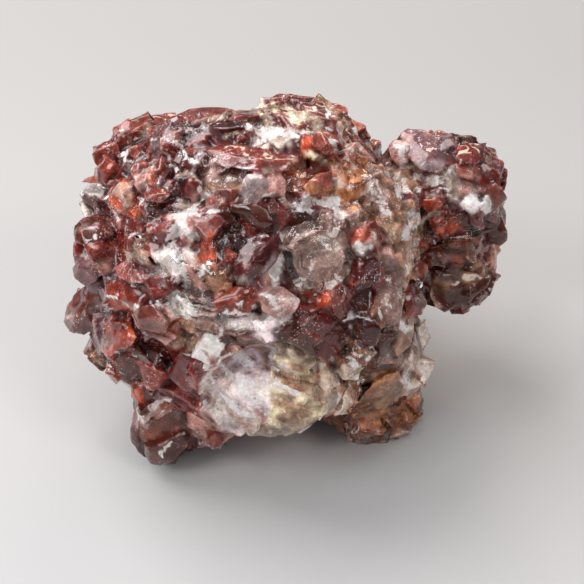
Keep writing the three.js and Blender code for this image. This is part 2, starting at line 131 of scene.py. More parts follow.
def form_normal(points):
    """The solid's broad outward direction at points, smoothed over neighbouring crystals."""
    result = np.empty_like(points)
    for start in range(0, len(points), CHUNK):
        part = points[start:start + CHUNK]
        squared = ((part[:, None, :] - cad_middle[None, :, :]) ** 2).sum(axis=2)
        weight = np.exp(-squared / (2 * FORM_SCALE ** 2)) * cad_area
        result[start:start + CHUNK] = weight @ cad_normal
    return unit(result)


def seen_from_display(points, normals):
    """Whether points of the surface face the display view and nothing stands before them."""
    sight = unit(EYE - points)
    facing = (sight * normals).sum(axis=1) > LEAST_FACING
    seen = np.zeros(len(points), bool)
    for index in np.flatnonzero(facing):
        start = points[index] + normals[index] * OFF_SURFACE
        seen[index] = cad_tree.ray_cast(Vector(start), Vector(sight[index]), RAY_REACH)[0] is None
    return seen


# ---- What grows where -------------------------------------------------------------------------

# The kinds of calcite here: colour (sRGB, 0 to 255), and how much frost lies on it.
# Three stand partly or wholly for light: the lilac kind is a painted sheen of facets facing the
# bright sky, the gold kind a painted golden glint, and the ember kind orange calcite whose colour
# partly paints a glow of light through it.
KINDS = {
    "garnet": ((122, 42, 34), 0.06),
    "rust": ((142, 58, 40), 0.05),
    "orange_and_glow": ((190, 76, 38), 0.02),
    "plum": ((82, 24, 24), 0.12),
    "violet": ((122, 78, 80), 0.16),
    "umber": ((86, 36, 24), 0.06),
    "brown": ((146, 70, 44), 0.04),
    "rose": ((204, 146, 134), 0.25),
    "cream": ((222, 198, 178), 0.35),
    "frost": ((230, 224, 218), 0.95),
    "tan": ((190, 148, 114), 0.12),
    "olive": ((166, 122, 92), 0.12),
    "smoke": ((146, 110, 102), 0.20),
    "gold_glint": ((245, 214, 170), 0.80),
    "clear": ((172, 138, 126), 0.28),
    "amber": ((204, 136, 84), 0.08),
    "mauve": ((138, 72, 62), 0.06),
    "brick": ((138, 54, 40), 0.05),
    "wine": ((66, 18, 14), 0.05),
    "lilac_sheen": ((176, 156, 156), 0.25),
    "peach": ((196, 150, 126), 0.20),
    "ice": ((218, 206, 200), 0.45),
    "pearl": ((232, 226, 246), 0.30),
    "bulge_white": ((246, 226, 222), 0.20),
    "bulge_amber": ((248, 226, 192), 0.12),
}
KIND_NAMES = list(KINDS)

# Broad regions of the display view and the mixture of kinds in each: middle, half-size, mixture.
# A place takes the first region that holds it.
REGIONS = [
    {"at": (46, 16), "half": (17, 32),
     "mix": {"garnet": 4, "violet": 2, "plum": 2, "rust": 2, "umber": 2, "smoke": 1, "cream": 1}},
    {"at": (30, 16), "half": (9, 34),
     "mix": {"olive": 3, "smoke": 3, "umber": 2, "cream": 1.5, "garnet": 1, "frost": 0.7, "rose": 1}},
    {"at": (27, -18), "half": (12, 24),
     "mix": {"olive": 4, "tan": 2, "umber": 2, "amber": 2, "cream": 1, "smoke": 1}},
    {"at": (14, -12), "half": (12, 14),
     "mix": {"umber": 4, "plum": 3, "garnet": 2, "orange_and_glow": 1, "frost": 0.3}},
    {"at": (-45, 0), "half": (15, 40),
     "mix": {"garnet": 7, "rust": 2, "violet": 1.2, "plum": 1.2, "orange_and_glow": 0.6, "rose": 0.5}},
    {"at": (-28, 26), "half": (16, 16),
     "mix": {"garnet": 5, "rust": 3, "plum": 4, "violet": 1.2, "orange_and_glow": 0.6, "rose": 0.8}},
    {"at": (-34, -24), "half": (12, 14),
     "mix": {"garnet": 6, "rust": 2, "plum": 2, "rose": 0.7}},
    {"at": (-8, 38), "half": (20, 8),
     "mix": {"garnet": 5, "rust": 2, "plum": 3, "cream": 0.6, "rose": 0.9, "frost": 0.4}},
    {"at": (-20, 2), "half": (15, 18),
     "mix": {"frost": 2, "rose": 2, "ice": 2, "cream": 0.4, "rust": 2, "clear": 2, "garnet": 1.5,
             "tan": 1}},
    {"at": (12, 30), "half": (16, 18),
     "mix": {"umber": 2, "amber": 2, "rust": 2, "rose": 1, "cream": 1, "smoke": 1, "frost": 0.7}},
    {"at": (0, 5), "half": (22, 20),
     "mix": {"plum": 2, "garnet": 2, "umber": 1, "rose": 1, "smoke": 1, "frost": 0.7, "clear": 0.6}},
]
ELSEWHERE = [
    {"garnet": 6, "rust": 2, "violet": 1, "plum": 2, "orange_and_glow": 0.5, "rose": 0.4},
    {"garnet": 3, "rust": 2, "rose": 1, "tan": 1, "cream": 0.6, "umber": 1},
    {"plum": 3, "garnet": 3, "umber": 2, "violet": 1.5, "smoke": 1},
]

# Areas of the display view with one kind: kind, middle (right, up) and half-size.
FEATURES = [
    ("garnet", -22.1, 44.5, 8.1, 1.8),
    ("umber", -15.5, 14.5, 5.5, 4.5),
    ("garnet", -15.5, 36.2, 10.0, 2.2),
    ("plum", -15.8, 31.2, 8.2, 2.2),
    ("smoke", -16.8, 28.8, 5.2, 3.2),
    ("cream", -4.8, 39.2, 7.2, 2.2),
    ("garnet", 1.0, 43.5, 10.0, 2.8),
    ("rose", -26.0, 16.0, 4.0, 6.0),
    ("ice", -36.0, 5.0, 4.0, 3.0),
    ("umber", -8.8, -11.8, 10.8, 1.8),
    ("umber", 19.5, -7.8, 4.0, 5.8),
    ("olive", 26.2, -0.1, 4.2, 9.4),
    ("smoke", 23.8, -12.0, 2.8, 10.0),
    ("cream", 31.5, -20.8, 4.0, 6.2),
    ("amber", 20.5, -33.5, 14.0, 5.5),
    ("olive", 28.0, 20.8, 5.0, 14.8),
    ("smoke", 23.5, 30.5, 3.5, 7.5),
    ("violet", 32.2, 35.2, 6.2, 6.2),
    ("umber", 42.8, 1.0, 8.2, 6.5),
    ("brown", 42.2, 12.8, 6.2, 6.2),
]

# The large crystals of the front: kind, outline on the display view (right, up, right, up ...),
# and the points of their ridges (right, up, how many millimetres each stands out).
# Gems of the lilac kind paint the sheen of facets facing the sky: painted sheen. Gems of the ember kind are
# orange crystals whose colour partly paints a glow.
GEMS = [
    # left druse
    ("umber", [-231, -30, -226, -14, -216, 0, -208, 7, -196, 13, -188, 12, -186, -8, -187, -21,
     -192, -37, -208, -43, -223, -40], [-210, 2, 1.6, -208, -24, 4.4, -188, -19, 1.2]),
    ("brick", [-187, 8, -180, 13, -164, 11, -150, 3, -143, -6, -146, -16, -158, -20, -186, -20,
     -188, -6], [-185, -3, 2.6, -155, -14, 3.2]),
    ("rust", [-189, -30, -180, -22, -164, -22, -159, -34, -153, -46, -160, -52, -174, -58, -182, -64,
     -188, -62, -182, -50, -190, -38], [-180, -36, 3, -164, -42, 3.4, -180, -58, 2.4]),
    ("mauve", [-161, -21, -152, -14, -138, -11, -129, -26, -121, -30, -126, -43, -140, -43, -151, -36],
     [-153, -27, 3, -129, -27, 2.6]),
    ("orange_and_glow", [-124, -34, -116, -24, -110, -18, -104, -26, -105, -34, -116, -45, -126, -45],
     [-114, -30, 2.2]),
    ("umber", [-186, -66, -172, -58, -154, -52, -143, -66, -151, -80, -162, -93, -180, -83],
     [-170, -64, 2, -154, -64, 2.6]),
    ("brick", [-155, -70, -146, -67, -134, -73, -123, -80, -123, -88, -134, -97, -142, -99, -148, -89],
     [-144, -74, 3.2, -132, -80, 3.6]),
    ("wine", [-140, -72, -134, -64, -122, -66, -115, -74, -124, -79, -134, -77], [-128, -70, 1.6]),
    ("umber", [-212, 98, -186, 97, -187, 86, -194, 80, -205, 86], [-208, 95, 2.4, -188, 94, 2.4]),
    ("lilac_sheen", [-211, 101, -205, 108, -192, 108, -186, 101, -188, 97, -209, 97],
     [-208, 99, 3, -189, 98, 3]),
    ("rust", [-211, 108, -204, 115, -194, 120, -184, 121, -179, 112, -188, 106, -200, 109],
     [-194, 112, 1.6]),
    ("cream", [-213, 92, -206, 89, -197, 80, -205, 71, -211, 80], [-206, 82, 0.9]),
    ("umber", [-219, 53, -219, 64, -212, 73, -200, 77, -188, 77, -179, 66, -178, 58, -186, 52, -200, 52,
     -210, 47], [-210, 62, 3.2, -194, 66, 3.6, -184, 60, 2.2]),
    ("garnet", [-209, 47, -200, 52, -188, 52, -182, 46, -183, 37, -194, 33, -198, 30, -205, 37],
     [-196, 44, 2.6, -200, 35, 1.6]),
    ("violet", [-220, 24, -214, 35, -206, 37, -198, 31, -191, 20, -193, 13, -208, 7, -217, 13],
     [-212, 24, 2.2, -200, 22, 2.4]),
    ("rose", [-193, 24, -188, 31, -180, 31, -175, 24, -177, 17, -184, 14], [-184, 24, 1.8]),
    ("mauve", [-177, 26, -164, 33, -154, 27, -147, 18, -149, 7, -162, 9, -175, 15],
     [-168, 24, 1.8, -156, 18, 2]),
    ("peach", [-181, 92, -181, 102, -174, 111, -166, 111, -160, 98, -159, 86, -168, 77, -177, 84],
     [-172, 102, 2, -168, 88, 2]),
    ("rust", [-163, 92, -162, 102, -154, 107, -150, 96, -156, 89], [-158, 96, 1.6]),
    ("wine", [-149, 86, -142, 91, -130, 90, -117, 80, -124, 71, -136, 69, -147, 75], [-136, 82, 1.2]),
    ("brick", [-141, 60, -132, 69, -117, 73, -115, 64, -124, 51, -131, 47, -139, 53], [-130, 62, 2.2]),
    ("clear", [-166, 48, -160, 55, -150, 55, -145, 48, -150, 43, -162, 42], [-155, 49, 1.6]),
    ("peach", [-167, 40, -156, 43, -146, 40, -141, 30, -143, 19, -154, 25, -165, 31], [-154, 35, 2.2]),
    ("violet", [-146, 37, -140, 35, -135, 22, -137, 15, -144, 19], [-141, 28, 1.4]),
    ("ice", [-140, 40, -130, 44, -112, 43, -107, 34, -116, 14, -124, 21, -135, 29],
     [-126, 38, 2.4, -116, 28, 2.4]),
    ("rose", [-115, 22, -108, 29, -102, 27, -92, 13, -85, 1, -92, -3, -105, 7], [-102, 16, 1.8]),
    ("ice", [-124, -6, -114, 1, -104, -2, -99, -14, -103, -27, -114, -31, -121, -20], [-112, -10, 2]),
    ("garnet", [-197, 146, -188, 151, -178, 152, -167, 144, -176, 135, -188, 131, -195, 139],
     [-188, 146, 2.4, -172, 143, 2.4]),
    ("brick", [-191, 120, -186, 127, -178, 133, -172, 124, -178, 114, -189, 115], [-183, 123, 2.2]),
    ("rust", [-176, 164, -166, 174, -154, 171, -154, 159, -164, 157, -175, 158], [-164, 165, 2.2]),
    ("mauve", [-162, 166, -152, 174, -136, 178, -116, 180, -114, 174, -132, 170, -148, 163, -158, 160],
     [-136, 175, 1]),
    ("rust", [-162, 120, -158, 129, -150, 133, -143, 128, -151, 115, -159, 113], [-154, 124, 2]),
    ("orange_and_glow", [-152, 108, -148, 117, -140, 123, -134, 114, -140, 105, -149, 103], [-143, 114, 2]),
    ("violet", [-143, 144, -138, 151, -128, 152, -125, 144, -134, 139], [-134, 146, 1.6]),
    ("garnet", [-147, 98, -140, 103, -128, 105, -121, 96, -132, 89, -145, 91], [-134, 98, 1.8]),
    ("garnet", [-108, 102, -106, 115, -98, 117, -91, 110, -91, 96, -100, 91],
     [-104, 112, 2.2, -96, 100, 1.6]),
    ("brick", [-120, 100, -114, 107, -108, 103, -103, 94, -110, 87, -118, 91], [-112, 98, 2]),
    # foot and toe
    ("brown", [-154, -136, -153, -120, -142, -111, -126, -107, -114, -110, -105, -122, -103, -138,
     -111, -148, -126, -154, -142, -154, -151, -148],
     [-151, -138, 3.2, -142, -127, 4.6, -126, -116, 5, -114, -112, 3.6, -144, -148, 2.6, -112, -140, 2.4]),
    ("umber", [-150, -149, -140, -145, -124, -140, -110, -133, -104, -141, -105, -155, -117, -168,
     -131, -175, -142, -171, -148, -161],
     [-144, -157, 4.2, -130, -152, 4.8, -113, -142, 4, -128, -166, 2.6]),
    ("violet", [-162, -144, -160, -121, -154, -110, -150, -122, -152, -138, -147, -154, -149, -165,
     -155, -160, -161, -151], [-155, -128, 2.6, -154, -148, 2.2]),
    ("umber", [-159, -104, -146, -97, -128, -99, -115, -108, -126, -112, -142, -112, -155, -110],
     [-138, -105, 1.2]),
    ("rose", [-108, -110, -92, -102, -76, -104, -66, -112, -56, -128, -51, -140, -66, -149, -78, -158,
     -86, -153, -96, -147, -105, -138, -110, -123], [-86, -123, 3.2, -68, -130, 3, -96, -132, 2.6]),
    ("rust", [-85, -141, -78, -131, -69, -140, -71, -152, -78, -158, -85, -151], [-78, -144, 4.2]),
    # upper left and top
    ("garnet", [-86, 142, -72, 148, -52, 146, -36, 143, -12, 138, 5, 141, 6, 132, -4, 123, -22, 117,
     -42, 119, -62, 125, -82, 131], [-62, 138, 2.2, -30, 132, 3, -8, 131, 2.4]),
    ("garnet", [-96, 148, -78, 155, -56, 157, -41, 150, -41, 145, -66, 146, -88, 142], [-68, 151, 1.6]),
    ("rose", [-29, 111, -20, 117, -10, 119, -5, 108, -7, 95, -20, 93, -33, 93], [-18, 106, 2]),
    ("lilac_sheen", [-51, 108, -46, 117, -30, 118, -22, 111, -29, 100, -32, 90, -48, 90, -52, 100],
     [-44, 112, 2.2, -30, 114, 2.4, -40, 96, 1]),
    ("brown", [-9, 112, -2, 123, 12, 124, 25, 116, 14, 107, 8, 99, -5, 101], [6, 114, 2.2]),
    ("mauve", [11, 106, 24, 119, 39, 121, 41, 102, 26, 97, 15, 97], [28, 110, 2]),
    ("amber", [53, 108, 60, 121, 70, 115, 79, 100, 75, 89, 60, 89, 51, 95], [64, 104, 2.4]),
    ("peach", [38, 108, 44, 121, 56, 123, 59, 108, 53, 95, 41, 95], [48, 110, 2.2]),
    ("orange_and_glow", [7, 152, 13, 158, 20, 154, 21, 144, 14, 133, 7, 133], [13, 146, 2]),
    ("rust", [20, 156, 28, 163, 40, 159, 49, 150, 42, 139, 30, 137, 21, 144], [32, 150, 2.6]),
    ("mauve", [-23, 196, -14, 200, 8, 196, 30, 193, 41, 186, 28, 183, 14, 179, -2, 181, -15, 188],
     [4, 191, 1.8, 24, 189, 1.6]),
    ("mauve", [-121, 176, -106, 183, -86, 185, -60, 184, -51, 180, -66, 173, -86, 169, -109, 173],
     [-86, 179, 1.2]),
    # centre
    ("orange_and_glow", [-93, 48, -84, 53, -78, 55, -74, 42, -73, 30, -84, 26, -93, 34], [-83, 42, 1.6]),
    ("peach", [-111, 42, -100, 44, -92, 39, -89, 28, -96, 23, -105, 32], [-100, 36, 1.4]),
    ("wine", [-78, 52, -72, 65, -60, 71, -45, 66, -45, 48, -54, 33, -66, 29, -75, 34], [-64, 54, 1.4]),
    ("plum", [-59, 30, -52, 43, -42, 55, -28, 59, -11, 58, -9, 44, -16, 29, -30, 17, -42, 7, -52, 6,
     -58, 16], [-30, 46, 2.8, -46, 24, 2.8]),
    ("clear", [-11, 52, -2, 67, 16, 72, 36, 69, 53, 57, 62, 36, 59, 17, 44, 3, 24, -3, 5, 3, -7, 22],
     [8, 56, 2.2, 40, 42, 2.8, 14, 20, 2.6]),
    ("tan", [-89, 18, -78, 27, -64, 26, -57, 14, -66, 3, -80, 1, -88, 8], [-74, 16, 2.2]),
    ("rust", [-81, -10, -66, 1, -52, 9, -34, 15, -29, 6, -34, -10, -44, -25, -58, -25, -73, -20],
     [-56, -6, 2.6]),
    ("rose", [-36, 0, -26, 7, -8, 5, 9, -8, 3, -21, -16, -27, -31, -20], [-20, -8, 2.8]),
    ("ice", [-79, -26, -62, -23, -44, -27, -29, -23, -33, -39, -52, -39, -71, -35], [-52, -31, 1.8]),
    ("ice", [-37, -26, -18, -21, 1, -11, -1, -28, -12, -45, -26, -55, -37, -45], [-20, -32, 2.6]),
    ("umber", [-63, 90, -42, 89, -24, 83, -17, 70, -30, 61, -46, 70, -61, 80], [-40, 78, 1.2]),
    ("wine", [-23, 80, -6, 84, 12, 81, 21, 74, 8, 67, -8, 67], [-2, 75, 1.2]),
    # right of the middle
    ("orange_and_glow", [57, 56, 62, 63, 72, 64, 81, 54, 74, 48, 59, 47], [68, 56, 2]),
    ("wine", [59, 42, 70, 46, 82, 41, 89, 32, 80, 23, 64, 21, 57, 30], [72, 35, 2]),
    ("garnet", [41, 4, 50, 10, 58, 3, 61, -8, 55, -27, 46, -31, 41, -16, 39, -4], [50, -8, 2.6]),
    ("orange_and_glow", [22, -12, 28, -1, 38, 3, 43, -10, 43, -23, 34, -25, 25, -20], [34, -12, 2.6]),
    ("plum", [15, -26, 28, -21, 44, -27, 59, -34, 55, -49, 38, -53, 23, -49, 15, -38], [36, -36, 2.2]),
    ("wine", [59, -30, 70, -25, 84, -27, 91, -38, 85, -53, 70, -55, 61, -44], [74, -38, 2.2]),
    ("umber", [-9, -30, 6, -27, 17, -42, 23, -60, 21, -73, 4, -65, -9, -48], [6, -46, 1.6]),
    ("cream", [28, -72, 34, -70, 44, -79, 49, -96, 49, -106, 41, -121, 29, -123, 27, -98],
     [38, -94, 2]),
    ("cream", [47, -102, 54, -93, 63, -91, 65, -112, 56, -123, 41, -125, 43, -114], [56, -108, 1.8]),
    ("frost", [52, -74, 56, -65, 62, -67, 66, -76, 60, -85, 54, -83], [59, -75, 1.4]),
    ("olive", [63, -112, 74, -99, 92, -83, 106, -79, 113, -88, 106, -105, 94, -117, 76, -119],
     [90, -100, 2.4]),
    ("smoke", [91, 30, 102, 35, 113, 22, 111, -8, 107, -39, 96, -39, 87, -8, 87, 14], [100, 2, 1.8]),
    ("garnet", [113, 2, 120, 11, 131, 0, 135, -12, 130, -25, 118, -27, 111, -14], [122, -8, 1.8]),
    ("brown", [51, -132, 66, -123, 92, -127, 101, -138, 97, -151, 74, -153, 57, -151], [74, -138, 1.8]),
    ("amber", [93, -128, 102, -117, 112, -109, 127, -118, 131, -136, 120, -142, 104, -143],
     [112, -126, 2.6]),
    ("frost", [125, 16, 130, 23, 138, 19, 141, 8, 134, 2, 126, 8], [133, 13, 1.6]),
    ("frost", [107, -27, 112, -29, 121, -37, 114, -41, 107, -36], [112, -35, 1.2]),
    ("frost", [106, 58, 110, 69, 116, 62, 114, 53, 108, 51], [110, 60, 1.2]),
    # knob
    ("violet", [108, 158, 116, 166, 132, 162, 146, 153, 154, 142, 155, 124, 144, 117, 128, 121,
     117, 134, 111, 146], [126, 150, 1.8, 138, 136, 2.6]),
    ("rose", [97, 146, 104, 153, 114, 151, 119, 140, 117, 130, 108, 125, 99, 134], [108, 142, 2.2]),
    ("garnet", [165, 144, 174, 149, 188, 145, 193, 134, 184, 127, 170, 129, 163, 136], [178, 139, 2]),
    ("mauve", [163, 127, 178, 130, 195, 128, 199, 118, 190, 109, 176, 111, 165, 118], [180, 120, 2]),
    ("frost", [168, 88, 174, 95, 184, 96, 189, 86, 182, 77, 173, 81], [178, 88, 1.4]),
    ("frost", [189, 88, 195, 95, 200, 88, 199, 80, 194, 77], [195, 86, 1.4]),
    ("umber", [193, 68, 200, 77, 208, 77, 215, 62, 216, 52, 208, 45, 197, 52], [204, 64, 1.8]),
    ("olive", [193, 46, 206, 48, 211, 42, 202, 29, 195, 29], [202, 40, 1.4]),
    ("rust", [135, 70, 140, 78, 150, 78, 156, 70, 152, 59, 144, 57], [146, 69, 2]),
    ("orange_and_glow", [127, 48, 132, 57, 138, 57, 142, 48, 138, 39, 131, 41], [135, 49, 1.8]),
    ("brown", [143, 40, 150, 49, 168, 54, 180, 53, 185, 42, 183, 29, 166, 27, 147, 27],
     [154, 49, 2.6, 178, 49, 2.8, 164, 38, 2.4]),
    ("garnet", [147, 54, 154, 71, 164, 75, 180, 67, 185, 58, 170, 53, 154, 51], [168, 63, 2]),
    ("umber", [137, -4, 142, 23, 156, 25, 178, 17, 201, 17, 195, 4, 178, -9, 164, -9, 152, -21,
     141, -15], [158, 2, 1.8, 180, 8, 1.4]),
    ("rust", [131, 92, 144, 95, 153, 88, 144, 79, 133, 81], [142, 87, 1.6]),
    ("rose", [167, 102, 176, 109, 186, 107, 193, 100, 182, 95, 169, 95], [178, 102, 1.6]),
    ("mauve", [195, 102, 204, 109, 210, 103, 215, 92, 206, 83, 197, 92], [205, 96, 1.6]),
    ("cream", [115, 80, 120, 87, 126, 83, 129, 68, 122, 61, 117, 70], [122, 76, 1.6]),
]
